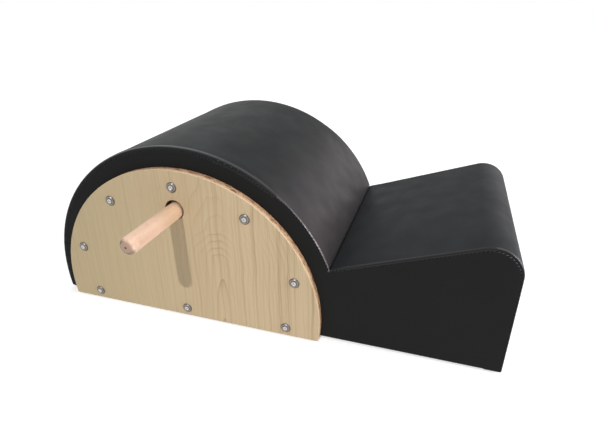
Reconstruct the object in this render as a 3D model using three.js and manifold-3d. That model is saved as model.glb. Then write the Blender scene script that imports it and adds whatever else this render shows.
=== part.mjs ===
// Pilates spine corrector: a padded half-round barrel with a sloping padded step behind it.
// A plywood frame carries the foam and the black cover, a veneered panel is screwed to each side,
// and a beech handle slides into a socket on each side.
// Millimetres, +Z up. +X points from the barrel to the step, -Y is the right hand of a person
// who sits on the step and leans back over the barrel. The origin is on the floor, midway.

import * as THREE from 'three';
import { mergeVertices } from 'three/addons/utils/BufferGeometryUtils.js';
import Module from 'manifold-3d';

const wasm = await Module();
wasm.setup();

// Padded body, outside the cover
const bodyWidth = 385;
const barrelRadius = 281.5;
const barrelCentreHeight = 37;
const valleyHeight = 137;
const stepLength = 281;
const stepSlope = THREE.MathUtils.degToRad(19.1);
const stepCornerRadius = 44;
const floorClearance = 3;

// Clearances between pieces that touch
const gap = 0.3;
const seamGap = 0.6;
const cutOverrun = 1;

// Cover sheets
const coverThickness = 1.5;
const seamRoll = 5;
const creaseRoll = 6;
const hemWidth = 25;
const dustCoverThickness = 0.6;
const dustCoverMargin = 12;

// Foam
const barrelFoamThickness = 25;
const stepFoamThickness = 30;
const endFoamThickness = 15;

// Frame
const barrelSkinThickness = 6;
const stepBoardThickness = 12;
const endBoardThickness = 12;
const sideBoardThickness = 18;
const ribThickness = 15;
const baseBoardThickness = 9;
const railWidth = 30;
const railHeight = 40;

// Side panels
const panelThickness = 15;
const panelMargin = 29.5;
const panelDrop = 5;
const panelEdgeEase = 1.2;
const panelHoleRadius = 17;
const panelHoleDrop = 69;

// Handles and their sockets
const handleRadius = 14;
const handleLength = 240;
const handleReach = 131;
const handleEndRound = 4;
const handleLipGap = 0.5;
const boreClearance = 0.5;
const socketBlockSize = 64;
const socketEndWall = 10;

// Panel screws and cup washers
const screwPitchAngle = THREE.MathUtils.degToRad(34.6);
const rimScrewMargin = 29;
const bottomScrewInset = 60;
const bottomScrewHeight = 16;
const screwLength = 32;
const screwShankRadius = 2;
const screwTipLength = 5;
const screwHeadRadius = 5;
const screwDomeHeight = 1.1;
const screwHoleClearance = 0.5;
const recessWidth = 1.2;
const recessLength = 5.4;
const recessDepth = 1.5;
const washerRadius = 9;
const washerHeight = 2.4;
const washerRimHeight = 0.7;
const washerCrownRadius = 7.2;
const washerFit = 0.4;

// Rubber pads
const padRadius = 20;
const padEase = 1;
const padEndInset = 95;
const padSideInset = 62;

// Facets
const barrelSteps = 48;
const cornerSteps = 8;
const rollSteps = 3;
const panelSteps = 60;
const handleSides = 32;
const holeSides = 12;
const washerSides = 18;
const screwSides = 12;
const padSides = 24;

// Finishes
const blackCover = finish(0x2c2d2e, 0.42, 0);
const dustCloth = finish(0x1f1f20, 0.95, 0);
const foam = finish(0xd9d2b4, 1, 0);
const framePlywood = finish(0xcbb182, 0.8, 0);
const frameTimber = finish(0xd8bd8c, 0.8, 0);
const paleVeneer = finish(0xc8b48f, 0.55, 0);
const beech = finish(0xe6bf9f, 0.6, 0);
const nickel = finish(0xb4b5b2, 0.35, 1);
const blackRubber = finish(0x191919, 0.9, 0);

function finish(color, roughness, metalness) {
  return new THREE.MeshStandardMaterial({ color, roughness, metalness });
}

// Side view: every point is (x, z)
const underside = floorClearance;
const halfWidth = bodyWidth / 2;
const valleyRise = valleyHeight - barrelCentreHeight;
const valleyReach = Math.sqrt(barrelRadius ** 2 - valleyRise ** 2);
const bodyLength = barrelRadius + valleyReach + stepLength;
const endX = bodyLength / 2;
const barrelCentre = new THREE.Vector2(barrelRadius - endX, underside + barrelCentreHeight);
const valley = new THREE.Vector2(valleyReach, valleyRise).add(barrelCentre);
const stepAlong = new THREE.Vector2(Math.cos(stepSlope), Math.sin(stepSlope));
const stepOut = turned(stepAlong, Math.PI / 2);
const barrelOut = valley.clone().sub(barrelCentre).normalize();
const creaseIn = barrelOut.clone().add(stepOut).normalize().negate();
const creaseAcross = turned(creaseIn, Math.PI / 2);

// Depths under the cover's outer surface, from the same thicknesses all through
const foamInset = coverThickness + gap;
const skinInset = foamInset + barrelFoamThickness + gap;
const barrelFrameInset = skinInset + barrelSkinThickness + gap;
const stepBoardInset = foamInset + stepFoamThickness + gap;
const stepFrameInset = stepBoardInset + stepBoardThickness + gap;
const endBoardInset = foamInset + endFoamThickness + gap;
const endFrameInset = endBoardInset + endBoardThickness + gap;
const frameBottom = underside + coverThickness + gap;
const innerHalfWidth = halfWidth - foamInset;
const boardInnerFace = innerHalfWidth - sideBoardThickness;

function turned(vector, angle) {
  return vector.clone().rotateAround(new THREE.Vector2(), angle);
}

function arc(centre, radius, fromAngle, toAngle, steps) {
  const points = [];
  for (let i = 0; i <= steps; i += 1) {
    const angle = THREE.MathUtils.lerp(fromAngle, toAngle, i / steps);
    points.push(new THREE.Vector2(Math.cos(angle), Math.sin(angle)).multiplyScalar(radius).add(centre));
  }
  return points;
}

// The crease plane runs down from the valley. A point on the barrel's side lies away from it.
function barrelCreasePoint(inset, away) {
  const start = valley.clone().addScaledVector(creaseAcross, -away);
  const fromCentre = start.clone().sub(barrelCentre);
  const inward = fromCentre.dot(creaseIn);
  const radius = barrelRadius - inset;
  const depth = -inward - Math.sqrt(inward ** 2 - fromCentre.lengthSq() + radius ** 2);
  return start.addScaledVector(creaseIn, depth);
}

function stepCreasePoint(inset, away) {
  const start = valley.clone().addScaledVector(creaseAcross, away);
  const height = start.clone().sub(valley).dot(stepOut);
  const depth = (inset + height) / -creaseIn.dot(stepOut);
  return start.addScaledVector(creaseIn, depth);
}

function barrelBottomX(inset, level) {
  const drop = barrelCentre.y - level;
  return barrelCentre.x - Math.sqrt((barrelRadius - inset) ** 2 - drop ** 2);
}

function stepTopZ(inset, x) {
  const start = valley.clone().addScaledVector(stepOut, -inset);
  return start.y + (x - start.x) * Math.tan(stepSlope);
}

// The cover and the foam under it tuck into the crease on a roll of a small radius
const rollAcross = creaseRoll + gap / 2;
const acrossAngle = creaseAcross.angle() - 2 * Math.PI;
const rollCentreRadius = barrelRadius - creaseRoll;
const rollOffset = (valley.clone().sub(barrelCentre).dot(creaseAcross) - rollAcross) / rollCentreRadius;
const barrelRollAngle = acrossAngle + Math.acos(rollOffset);
const barrelRollCentre = barrelCentre.clone();
barrelRollCentre.addScaledVector(turned(new THREE.Vector2(1, 0), barrelRollAngle), rollCentreRadius);
const stepRollAlong = (rollAcross + creaseRoll * stepOut.dot(creaseAcross)) / stepAlong.dot(creaseAcross);
const stepRollCentre = valley.clone();
stepRollCentre.addScaledVector(stepAlong, stepRollAlong).addScaledVector(stepOut, -creaseRoll);

// The step's top end corner
const cornerCentre = new THREE.Vector2(endX - stepCornerRadius, 0);
cornerCentre.y = stepTopZ(stepCornerRadius, cornerCentre.x);

function barrelSoftEdge(inset, bottom) {
  const radius = barrelRadius - inset;
  const bottomAngle = Math.PI + Math.asin((barrelCentre.y - bottom) / radius);
  const around = arc(barrelCentre, radius, bottomAngle, barrelRollAngle, barrelSteps);
  const roll = arc(barrelRollCentre, creaseRoll - inset, barrelRollAngle, acrossAngle, rollSteps);
  return [...around, ...roll.slice(1)];
}

function stepSoftEdge(inset, bottom) {
  const outAngle = stepOut.angle();
  const roll = arc(stepRollCentre, creaseRoll - inset, acrossAngle + Math.PI, outAngle, rollSteps);
  const corner = arc(cornerCentre, stepCornerRadius - inset, outAngle, 0, cornerSteps);
  return [...roll, ...corner, new THREE.Vector2(endX - inset, bottom)];
}

// The frame's own outline, under the skins and boards
function barrelInnerEdge(inset, bottom, away) {
  const radius = barrelRadius - inset;
  const bottomAngle = Math.PI + Math.asin((barrelCentre.y - bottom) / radius);
  const creaseAngle = barrelCreasePoint(inset, away).sub(barrelCentre).angle();
  return arc(barrelCentre, radius, bottomAngle, creaseAngle, barrelSteps);
}

function frameOutline(bottom) {
  const right = endX - endFrameInset;
  return [
    ...barrelInnerEdge(barrelFrameInset, bottom, gap / 2),
    stepCreasePoint(stepFrameInset, -gap / 2),
    new THREE.Vector2(right, stepTopZ(stepFrameInset, right)),
    new THREE.Vector2(right, bottom),
  ];
}

// An outline in the side view, given its width from yLow to yHigh, with its edges rounded by ease
function slab(points, yLow, yHigh, ease = 0, easeSteps = 1) {
  const geometry = new THREE.ExtrudeGeometry(new THREE.Shape(points), {
    depth: yHigh - yLow - 2 * ease,
    steps: 1,
    bevelEnabled: ease > 0,
    bevelThickness: ease,
    bevelSize: ease,
    bevelOffset: -ease,
    bevelSegments: easeSteps,
  });
  geometry.rotateX(Math.PI / 2);
  geometry.translate(0, yHigh - ease, 0);
  return geometry;
}

function block(xLow, xHigh, yLow, yHigh, zLow, zHigh) {
  const geometry = new THREE.BoxGeometry(xHigh - xLow, yHigh - yLow, zHigh - zLow);
  geometry.translate((xLow + xHigh) / 2, (yLow + yHigh) / 2, (zLow + zHigh) / 2);
  return geometry;
}

function rod(x, z, radius, yLow, yHigh, sides) {
  const geometry = new THREE.CylinderGeometry(radius, radius, yHigh - yLow, sides);
  geometry.translate(x, (yLow + yHigh) / 2, z);
  return geometry;
}

function toSolid(geometry) {
  const bare = geometry.clone();
  bare.deleteAttribute('normal');
  bare.deleteAttribute('uv');
  const merged = mergeVertices(bare);
  const vertProperties = new Float32Array(merged.attributes.position.array);
  const triVerts = new Uint32Array(merged.index.array);
  return new wasm.Manifold(new wasm.Mesh({ numProp: 3, vertProperties, triVerts }));
}

function toGeometry(solid) {
  const { vertProperties, triVerts } = solid.getMesh();
  const geometry = new THREE.BufferGeometry();
  geometry.setAttribute('position', new THREE.BufferAttribute(vertProperties, 3));
  geometry.setIndex(new THREE.BufferAttribute(triVerts, 1));
  geometry.computeVertexNormals();
  return geometry;
}

function joined(first, second) {
  return toGeometry(toSolid(first).add(toSolid(second)));
}

function common(first, second) {
  return toGeometry(toSolid(first).intersect(toSolid(second)));
}

function cutBy(geometry, cutters) {
  const cut = cutters.reduce((left, cutter) => left.subtract(toSolid(cutter)), toSolid(geometry));
  return toGeometry(cut);
}

// A closed section of (y, inset) points carried along the edge that edgeAt gives for each inset
function sweep(section, edgeAt) {
  const rows = section.map((point) => edgeAt(point.y));
  const columns = rows[0].length;
  const positions = [];
  rows.forEach((row, i) => row.forEach((point) => positions.push(point.x, section[i].x, point.y)));
  const triangles = [];
  for (let i = 0; i < rows.length; i += 1) {
    const here = i * columns;
    const next = ((i + 1) % rows.length) * columns;
    for (let j = 0; j < columns - 1; j += 1) {
      triangles.push(here + j, here + j + 1, next + j);
      triangles.push(next + j, here + j + 1, next + j + 1);
    }
  }
  for (const [a, b, c] of THREE.ShapeUtils.triangulateShape(section, [])) {
    const last = columns - 1;
    triangles.push(a * columns, b * columns, c * columns);
    triangles.push(a * columns + last, c * columns + last, b * columns + last);
  }
  const geometry = new THREE.BufferGeometry();
  geometry.setAttribute('position', new THREE.Float32BufferAttribute(positions, 3));
  geometry.setIndex(triangles);
  geometry.computeVertexNormals();
  return geometry;
}

// The assembly
const corrector = new THREE.Group();

function place(name, geometry, material, parent = corrector) {
  const mesh = new THREE.Mesh(geometry, material);
  mesh.name = name;
  parent.add(mesh);
  return mesh;
}

const sides = [
  { name: 'right', sign: -1, turn: 0 },
  { name: 'left', sign: 1, turn: Math.PI },
];

function span(sign, inner, outer) {
  return sign < 0 ? [-outer, -inner] : [inner, outer];
}

// Side panel, screw and handle places
const panelRadius = barrelRadius - panelMargin;
const panelCentre = barrelCentre.clone();
panelCentre.y -= panelDrop;
const panelInnerFace = halfWidth + gap;
const panelOuterFace = panelInnerFace + panelThickness;
const panelHoleZ = panelCentre.y + panelRadius - panelHoleDrop;
const handleZ = panelHoleZ - (panelHoleRadius - handleRadius - handleLipGap);
const handleTip = panelOuterFace + handleReach;
const handleInnerEnd = handleTip - handleLength;
const screwHoleRadius = screwShankRadius + screwHoleClearance;

function screwPlaces() {
  const rim = [-2, -1, 0, 1, 2].map((count) => {
    const angle = Math.PI / 2 + count * screwPitchAngle;
    return arc(panelCentre, panelRadius - rimScrewMargin, angle, angle, 1)[0];
  });
  const bottom = [-1, 0, 1].map((share) => new THREE.Vector2(
    panelCentre.x + share * (panelRadius - bottomScrewInset),
    underside + bottomScrewHeight,
  ));
  return [...rim, ...bottom];
}

function screwHoles(radius, yLow, yHigh) {
  return screwPlaces().map((place) => rod(place.x, place.y, radius, yLow, yHigh, holeSides));
}

// Frame
function makeSideBoard(sign) {
  const [low, high] = span(sign, boardInnerFace, innerHalfWidth);
  const bore = rod(
    barrelCentre.x,
    handleZ,
    handleRadius + boreClearance,
    low - cutOverrun,
    high + cutOverrun,
    handleSides,
  );
  const cutters = [bore, ...screwHoles(screwHoleRadius, low - cutOverrun, high + cutOverrun)];
  return cutBy(slab(frameOutline(frameBottom), low, high), cutters);
}

function makeBarrelSkin() {
  const outer = barrelInnerEdge(skinInset, frameBottom, gap);
  const inner = barrelInnerEdge(skinInset + barrelSkinThickness, frameBottom, gap);
  return slab([...outer, ...inner.reverse()], -innerHalfWidth, innerHalfWidth);
}

function makeStepBoard() {
  const right = endX - endBoardInset;
  const lower = stepBoardInset + stepBoardThickness;
  const points = [
    stepCreasePoint(stepBoardInset, gap),
    new THREE.Vector2(right, stepTopZ(stepBoardInset, right)),
    new THREE.Vector2(right, stepTopZ(lower, right)),
    stepCreasePoint(lower, gap),
  ];
  return slab(points, -innerHalfWidth, innerHalfWidth);
}

function makeEndBoard() {
  const right = endX - endBoardInset;
  const left = right - endBoardThickness;
  const points = [
    new THREE.Vector2(left, frameBottom),
    new THREE.Vector2(left, stepTopZ(stepFrameInset, left)),
    new THREE.Vector2(right, stepTopZ(stepFrameInset, right)),
    new THREE.Vector2(right, frameBottom),
  ];
  return slab(points, -innerHalfWidth, innerHalfWidth);
}

const bayHalfWidth = boardInnerFace - gap;
const baseTop = frameBottom + baseBoardThickness;
const ribBottom = baseTop + gap;
const frameRight = endX - endFrameInset;
const baseLeft = barrelBottomX(barrelFrameInset, frameBottom) + gap;

function makeBaseBoard() {
  return block(baseLeft, frameRight, -bayHalfWidth, bayHalfWidth, frameBottom, baseTop);
}

// The rails run from side board to side board. Each outline can be made wider all round by grow.
function footRail(grow) {
  const left = baseLeft - grow;
  const right = baseLeft + railWidth + grow;
  const low = ribBottom - grow;
  const high = ribBottom + railHeight + grow;
  return [
    new THREE.Vector2(left, low),
    new THREE.Vector2(right, low),
    new THREE.Vector2(right, high),
    new THREE.Vector2(left, high),
  ];
}

// A rail glued under the step's top board lies along its slope
function slopedRail(start, grow) {
  const first = start.clone().addScaledVector(stepAlong, -grow).addScaledVector(stepOut, grow);
  const second = first.clone().addScaledVector(stepAlong, railHeight + 2 * grow);
  const depth = -(railWidth + 2 * grow);
  return [
    first,
    second,
    second.clone().addScaledVector(stepOut, depth),
    first.clone().addScaledVector(stepOut, depth),
  ];
}

const valleyRailStart = stepCreasePoint(stepFrameInset, gap);
const endRailStart = new THREE.Vector2(0, 0);
endRailStart.x = frameRight - gap - railHeight * stepAlong.x - railWidth * stepAlong.y;
endRailStart.y = stepTopZ(stepFrameInset, endRailStart.x);

// A rail's notch in the rib is open towards the board or skin that the rail is glued to
const rails = {
  barrel_foot_rail: { outline: footRail, opens: new THREE.Vector2(-1, 0) },
  valley_rail: { outline: (grow) => slopedRail(valleyRailStart, grow), opens: stepOut },
  step_end_rail: { outline: (grow) => slopedRail(endRailStart, grow), opens: stepAlong },
};

function makeRib() {
  const half = ribThickness / 2;
  const notches = Object.values(rails).flatMap(({ outline, opens }) => {
    const here = outline(gap);
    const beside = here.map((point) => point.clone().addScaledVector(opens, railWidth / 2));
    return [here, beside].map((points) => slab(points, -half - cutOverrun, half + cutOverrun));
  });
  return cutBy(slab(frameOutline(ribBottom), -half, half), notches);
}

for (const { name, sign } of sides) {
  place(`${name}_side_board`, makeSideBoard(sign), framePlywood);
}
place('centre_rib', makeRib(), framePlywood);
place('barrel_skin', makeBarrelSkin(), framePlywood);
place('step_top_board', makeStepBoard(), framePlywood);
place('step_end_board', makeEndBoard(), framePlywood);
place('base_board', makeBaseBoard(), framePlywood);
for (const [name, { outline }] of Object.entries(rails)) {
  place(name, slab(outline(0), -bayHalfWidth, bayHalfWidth), frameTimber);
}

// Foam: the space under the cover, with rounded side edges, cut along the frame and the crease
const foamRound = seamRoll - coverThickness - gap;
const foamAway = foamInset + gap;
const clearOfBody = endX + barrelRadius;

function makeFoamEnvelope() {
  const bottom = frameBottom - foamRound;
  const outline = [...barrelSoftEdge(foamInset, bottom), ...stepSoftEdge(foamInset, bottom)];
  return slab(outline, -innerHalfWidth, innerHalfWidth, foamRound, rollSteps - 1);
}

const foamEnvelope = makeFoamEnvelope();

function foamWithin(outline) {
  const region = slab(outline, -halfWidth, halfWidth);
  return common(foamEnvelope, region);
}

function makeBarrelFoam() {
  return foamWithin([
    new THREE.Vector2(-clearOfBody, frameBottom),
    new THREE.Vector2(-clearOfBody, clearOfBody),
    barrelCreasePoint(0, foamAway).addScaledVector(creaseIn, -barrelRadius),
    ...barrelInnerEdge(foamInset + barrelFoamThickness, frameBottom, foamAway).reverse(),
  ]);
}

function makeStepFoam() {
  const innerRight = endX - foamInset - endFoamThickness;
  const innerTop = foamInset + stepFoamThickness;
  return foamWithin([
    stepCreasePoint(0, foamAway).addScaledVector(creaseIn, -barrelRadius),
    new THREE.Vector2(clearOfBody, clearOfBody),
    new THREE.Vector2(clearOfBody, frameBottom),
    new THREE.Vector2(innerRight, frameBottom),
    new THREE.Vector2(innerRight, stepTopZ(innerTop, innerRight)),
    stepCreasePoint(innerTop, foamAway),
  ]);
}

place('barrel_foam', makeBarrelFoam(), foam);
place('step_foam', makeStepFoam(), foam);

// Cover: a sheet over the barrel, a sheet over the step, and one sheet for each side
function coverSection() {
  const centre = new THREE.Vector2(halfWidth - seamRoll, seamRoll);
  const outer = arc(centre, seamRoll, -Math.PI / 2, 0, rollSteps);
  const inner = arc(centre, seamRoll - coverThickness, 0, -Math.PI / 2, rollSteps);
  const half = [...outer, ...inner];
  const mirrored = half.map((point) => new THREE.Vector2(-point.x, point.y)).reverse();
  return [...half, ...mirrored];
}

function endHem(xLow, xHigh) {
  const reach = halfWidth - hemWidth - gap;
  return block(xLow, xHigh, -reach, reach, underside, underside + coverThickness);
}

function makeBarrelCover() {
  const sheet = sweep(coverSection(), (inset) => barrelSoftEdge(inset, underside));
  const left = barrelBottomX(coverThickness / 2, underside);
  return joined(sheet, endHem(left, left + hemWidth));
}

function makeStepCover() {
  const sheet = sweep(coverSection(), (inset) => stepSoftEdge(inset, underside));
  const right = endX - coverThickness / 2;
  return joined(sheet, endHem(right - hemWidth, right));
}

function makeSideCover(sign) {
  const edge = seamRoll + seamGap;
  const right = endX - edge;
  const corner = arc(cornerCentre, stepCornerRadius - edge, stepOut.angle(), 0, cornerSteps);
  const outline = [
    ...barrelInnerEdge(edge, underside, 0),
    ...corner,
    new THREE.Vector2(right, underside),
  ];
  const [low, high] = span(sign, halfWidth - coverThickness, halfWidth);
  const [hemLow, hemHigh] = span(sign, halfWidth - hemWidth, halfWidth - coverThickness / 2);
  const hemLeft = barrelBottomX(edge, underside) + coverThickness;
  const hemRight = right - coverThickness;
  const hemTop = underside + coverThickness;
  const hem = block(hemLeft, hemRight, hemLow, hemHigh, underside, hemTop);
  const handleHole = rod(
    barrelCentre.x,
    panelHoleZ,
    panelHoleRadius,
    low - cutOverrun,
    high + cutOverrun,
    handleSides,
  );
  const cutters = [handleHole, ...screwHoles(screwHoleRadius, low - cutOverrun, high + cutOverrun)];
  return cutBy(joined(slab(outline, low, high), hem), cutters);
}

place('barrel_cover', makeBarrelCover(), blackCover);
place('step_cover', makeStepCover(), blackCover);
for (const { name, sign } of sides) {
  place(`${name}_side_cover`, makeSideCover(sign), blackCover);
}

// Underside: a dust cover, and rubber pads that reach through it to the base board
const padPlaces = {
  right_barrel_pad: [-endX + padEndInset, -halfWidth + padSideInset],
  left_barrel_pad: [-endX + padEndInset, halfWidth - padSideInset],
  right_step_pad: [endX - padEndInset, -halfWidth + padSideInset],
  left_step_pad: [endX - padEndInset, halfWidth - padSideInset],
};

function upright(x, y, radius, zLow, zHigh) {
  const geometry = new THREE.CylinderGeometry(radius, radius, zHigh - zLow, padSides);
  geometry.rotateX(Math.PI / 2);
  geometry.translate(x, y, (zLow + zHigh) / 2);
  return geometry;
}

function makeDustCover() {
  const high = underside - gap;
  const low = high - dustCoverThickness;
  const left = barrelBottomX(dustCoverMargin, underside);
  const right = endX - dustCoverMargin;
  const reach = halfWidth - dustCoverMargin;
  const holes = Object.values(padPlaces).map(([x, y]) => (
    upright(x, y, padRadius + gap, low - cutOverrun, high + cutOverrun)
  ));
  return cutBy(block(left, right, -reach, reach, low, high), holes);
}

function makePad() {
  const height = frameBottom - gap;
  const profile = [
    new THREE.Vector2(0, 0),
    new THREE.Vector2(padRadius - padEase, 0),
    new THREE.Vector2(padRadius, padEase),
    new THREE.Vector2(padRadius, height),
    new THREE.Vector2(0, height),
  ];
  const geometry = new THREE.LatheGeometry(profile, padSides);
  geometry.rotateX(Math.PI / 2);
  return geometry;
}

place('dust_cover', makeDustCover(), dustCloth);
for (const [name, [x, y]] of Object.entries(padPlaces)) {
  place(name, makePad(), blackRubber).position.set(x, y, 0);
}

// Side panel: a half disc with a flat foot, its edges eased, drilled for the handle and screws
function makePanel() {
  const drop = panelCentre.y - underside;
  const bottomAngle = Math.asin(drop / panelRadius);
  const centre = new THREE.Vector2(0, panelCentre.y);
  const outline = arc(centre, panelRadius, Math.PI + bottomAngle, -bottomAngle, panelSteps);
  const board = slab(outline, -panelOuterFace, -panelInnerFace, panelEdgeEase);
  const low = -panelOuterFace - cutOverrun;
  const high = -panelInnerFace + cutOverrun;
  const holes = screwPlaces().map((place) => rod(
    place.x - panelCentre.x,
    place.y,
    coneRadius(0) + screwHoleClearance,
    low,
    high,
    holeSides,
  ));
  return cutBy(board, [rod(0, panelHoleZ, panelHoleRadius, low, high, handleSides), ...holes]);
}

// The head's cone has a slope of 45 degrees and is widest level with the washer's top
function coneRadius(height) {
  return screwHeadRadius - (washerHeight - height);
}

function makeWasher() {
  const bottomRadius = coneRadius(0) + washerFit;
  const topRadius = coneRadius(washerHeight) + washerFit;
  const profile = [
    new THREE.Vector2(bottomRadius, 0),
    new THREE.Vector2(washerRadius, 0),
    new THREE.Vector2(washerRadius, washerRimHeight),
    new THREE.Vector2(washerCrownRadius, washerHeight),
    new THREE.Vector2(topRadius, washerHeight),
    new THREE.Vector2(bottomRadius, 0),
  ];
  return new THREE.LatheGeometry(profile, washerSides);
}

function makeScrew() {
  const coneBottom = washerHeight - (screwHeadRadius - screwShankRadius);
  const domeRadius = (screwHeadRadius + recessLength / 2) / 2;
  const domeShoulder = washerHeight + (screwDomeHeight * 2) / 3;
  const profile = [
    new THREE.Vector2(0, washerHeight - screwLength),
    new THREE.Vector2(screwShankRadius, washerHeight - screwLength + screwTipLength),
    new THREE.Vector2(screwShankRadius, coneBottom),
    new THREE.Vector2(screwHeadRadius, washerHeight),
    new THREE.Vector2(domeRadius, domeShoulder),
    new THREE.Vector2(0, washerHeight + screwDomeHeight),
  ];
  const body = new THREE.LatheGeometry(profile, screwSides);
  const top = washerHeight + screwDomeHeight;
  const half = recessLength / 2;
  const narrow = recessWidth / 2;
  const slots = [
    block(-half, half, top - recessDepth, top + cutOverrun, -narrow, narrow),
    block(-narrow, narrow, top - recessDepth, top + cutOverrun, -half, half),
  ];
  return cutBy(body, slots);
}

function makeHandle() {
  const flat = handleRadius - handleEndRound;
  const inner = arc(new THREE.Vector2(flat, handleEndRound), handleEndRound, -Math.PI / 2, 0, rollSteps);
  const outer = arc(
    new THREE.Vector2(flat, handleLength - handleEndRound),
    handleEndRound,
    0,
    Math.PI / 2,
    rollSteps,
  );
  const profile = [new THREE.Vector2(0, 0), ...inner, ...outer, new THREE.Vector2(0, handleLength)];
  return new THREE.LatheGeometry(profile, handleSides);
}

function makeSocketBlock() {
  const outer = -(boardInnerFace - gap);
  const boreEnd = -(handleInnerEnd - handleLipGap);
  const half = socketBlockSize / 2;
  const timber = block(-half, half, outer, boreEnd + socketEndWall, handleZ - half, handleZ + half);
  const bore = rod(0, handleZ, handleRadius + boreClearance, outer - cutOverrun, boreEnd, handleSides);
  return cutBy(timber, [bore]);
}

// Each side is made facing -Y about the barrel's middle, and the left one is turned right round
const panelGeometry = makePanel();
const washerGeometry = makeWasher();
const screwGeometry = makeScrew();
const handleGeometry = makeHandle();
const socketGeometry = makeSocketBlock();

for (const { name, turn } of sides) {
  const side = new THREE.Group();
  side.position.x = barrelCentre.x;
  side.rotation.z = turn;
  corrector.add(side);

  place(`${name}_side_panel`, panelGeometry, paleVeneer, side);
  place(`${name}_socket_block`, socketGeometry, frameTimber, side);

  const handle = place(`${name}_handle`, handleGeometry, beech, side);
  handle.position.set(0, -handleInnerEnd, handleZ);
  handle.rotation.x = Math.PI;

  screwPlaces().forEach((spot, i) => {
    const fixing = new THREE.Group();
    fixing.position.set(spot.x - barrelCentre.x, -panelOuterFace, spot.y);
    fixing.rotation.x = Math.PI;
    side.add(fixing);
    const washer = place(`${name}_cup_washer_${i + 1}`, washerGeometry, nickel, fixing);
    washer.position.y = gap;
    const screw = place(`${name}_panel_screw_${i + 1}`, screwGeometry, nickel, fixing);
    screw.position.y = gap;
    screw.rotation.y = i * screwPitchAngle;
  });
}

export default corrector;
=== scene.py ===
# Pilates spine corrector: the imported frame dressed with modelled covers, stitching, veneer and fittings.
# Sizes are in millimetres in the maker's frame, +X from barrel to step, -Y the right side and +Z up, until a
# mesh is made of them. Places and scales in the finishes are in metres, as Object coordinates give them.
import math

import bmesh
import bpy
import numpy as np
from mathutils import Matrix, Vector
from mathutils.geometry import delaunay_2d_cdt


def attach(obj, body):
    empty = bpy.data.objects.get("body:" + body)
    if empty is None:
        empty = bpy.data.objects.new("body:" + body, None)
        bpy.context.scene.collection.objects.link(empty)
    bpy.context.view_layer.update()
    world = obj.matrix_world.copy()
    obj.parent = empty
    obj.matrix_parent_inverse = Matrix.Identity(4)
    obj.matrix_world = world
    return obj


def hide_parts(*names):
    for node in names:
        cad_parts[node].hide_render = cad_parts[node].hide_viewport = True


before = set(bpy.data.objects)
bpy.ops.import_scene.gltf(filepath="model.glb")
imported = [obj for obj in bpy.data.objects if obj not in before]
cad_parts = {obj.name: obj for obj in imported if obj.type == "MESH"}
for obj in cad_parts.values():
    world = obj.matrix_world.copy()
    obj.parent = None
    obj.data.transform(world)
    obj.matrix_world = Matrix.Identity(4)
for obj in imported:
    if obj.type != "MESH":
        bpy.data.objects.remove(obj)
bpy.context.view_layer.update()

MM = 0.001

# Padded body, outside the cover
HALF_WIDTH = 192.5
BARREL_RADIUS = 281.5
VALLEY_RISE = 100
STEP_LENGTH = 281
STEP_SLOPE = math.radians(19.1)
STEP_CORNER = 44
UNDERSIDE = 3
FOOT_TURN = 3
FOOT_LEVEL = UNDERSIDE + FOOT_TURN
BARREL_CENTRE_HEIGHT = 37
SHEET_GAP = 0.3
CREASE_ROLL = 6
CREASE_TUCK = 14
CREASE_CLEAR = 0.4
HEM_WIDTH = 25
LEATHER = 0.9

# Side panel, handles and fixings
PANEL_INNER = 192.8
PANEL_OUTER = 207.8
PANEL_RADIUS = 252
PANEL_DROP = 5
PANEL_EASE = 1.2
HOLE_RADIUS = 17
HOLE_HEIGHT = 218
HANDLE_RADIUS = 14
HANDLE_HEIGHT = 215.5
HANDLE_TIP = 338.8
HANDLE_LENGTH = 240
SCREW_PITCH = math.radians(34.6)
SCREW_CIRCLE = 223
FOOT_SCREW_HEIGHT = 19
FOOT_SCREW_REACH = 192
PAD_END = 95
PAD_SIDE = 62
PAD_RADIUS = 20
SIDES = (("right", -1), ("left", 1))

# Places that follow from the sizes
valley_reach = math.sqrt(BARREL_RADIUS ** 2 - VALLEY_RISE ** 2)
END_X = (BARREL_RADIUS + valley_reach + STEP_LENGTH) / 2
barrel_centre = np.array([BARREL_RADIUS - END_X, UNDERSIDE + BARREL_CENTRE_HEIGHT])
valley = barrel_centre + [valley_reach, VALLEY_RISE]
step_along = np.array([math.cos(STEP_SLOPE), math.sin(STEP_SLOPE)])
step_out = np.array([-step_along[1], step_along[0]])
out_angle = math.atan2(step_out[1], step_out[0])
barrel_out = (valley - barrel_centre) / BARREL_RADIUS
crease_in = -(barrel_out + step_out) / np.linalg.norm(barrel_out + step_out)
crease_across = np.array([-crease_in[1], crease_in[0]])
across_angle = math.atan2(crease_across[1], crease_across[0])
panel_centre = barrel_centre - [0, PANEL_DROP]
hole_centre = np.array([barrel_centre[0], HOLE_HEIGHT])
pad_places = [(x, y) for x in (PAD_END - END_X, END_X - PAD_END)
              for y in (PAD_SIDE - HALF_WIDTH, HALF_WIDTH - PAD_SIDE)]


def step_top(inset, x):
    """The height at x of the line that lies at an inset under the step's top."""
    start = valley - step_out * inset
    return start[1] + (x - start[0]) * math.tan(STEP_SLOPE)


corner_x = END_X - STEP_CORNER
corner_centre = np.array([corner_x, step_top(STEP_CORNER, corner_x)])
roll_across = CREASE_ROLL + SHEET_GAP / 2
roll_radius = BARREL_RADIUS - CREASE_ROLL
roll_share = ((valley - barrel_centre) @ crease_across - roll_across) / roll_radius
barrel_roll_angle = across_angle + math.acos(roll_share)
barrel_roll_centre = barrel_centre + roll_radius * np.array(
    [math.cos(barrel_roll_angle), math.sin(barrel_roll_angle)])
step_roll_along = (roll_across + CREASE_ROLL * (step_out @ crease_across)) / (step_along @ crease_across)
step_roll_centre = valley + step_along * step_roll_along - step_out * CREASE_ROLL


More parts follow.
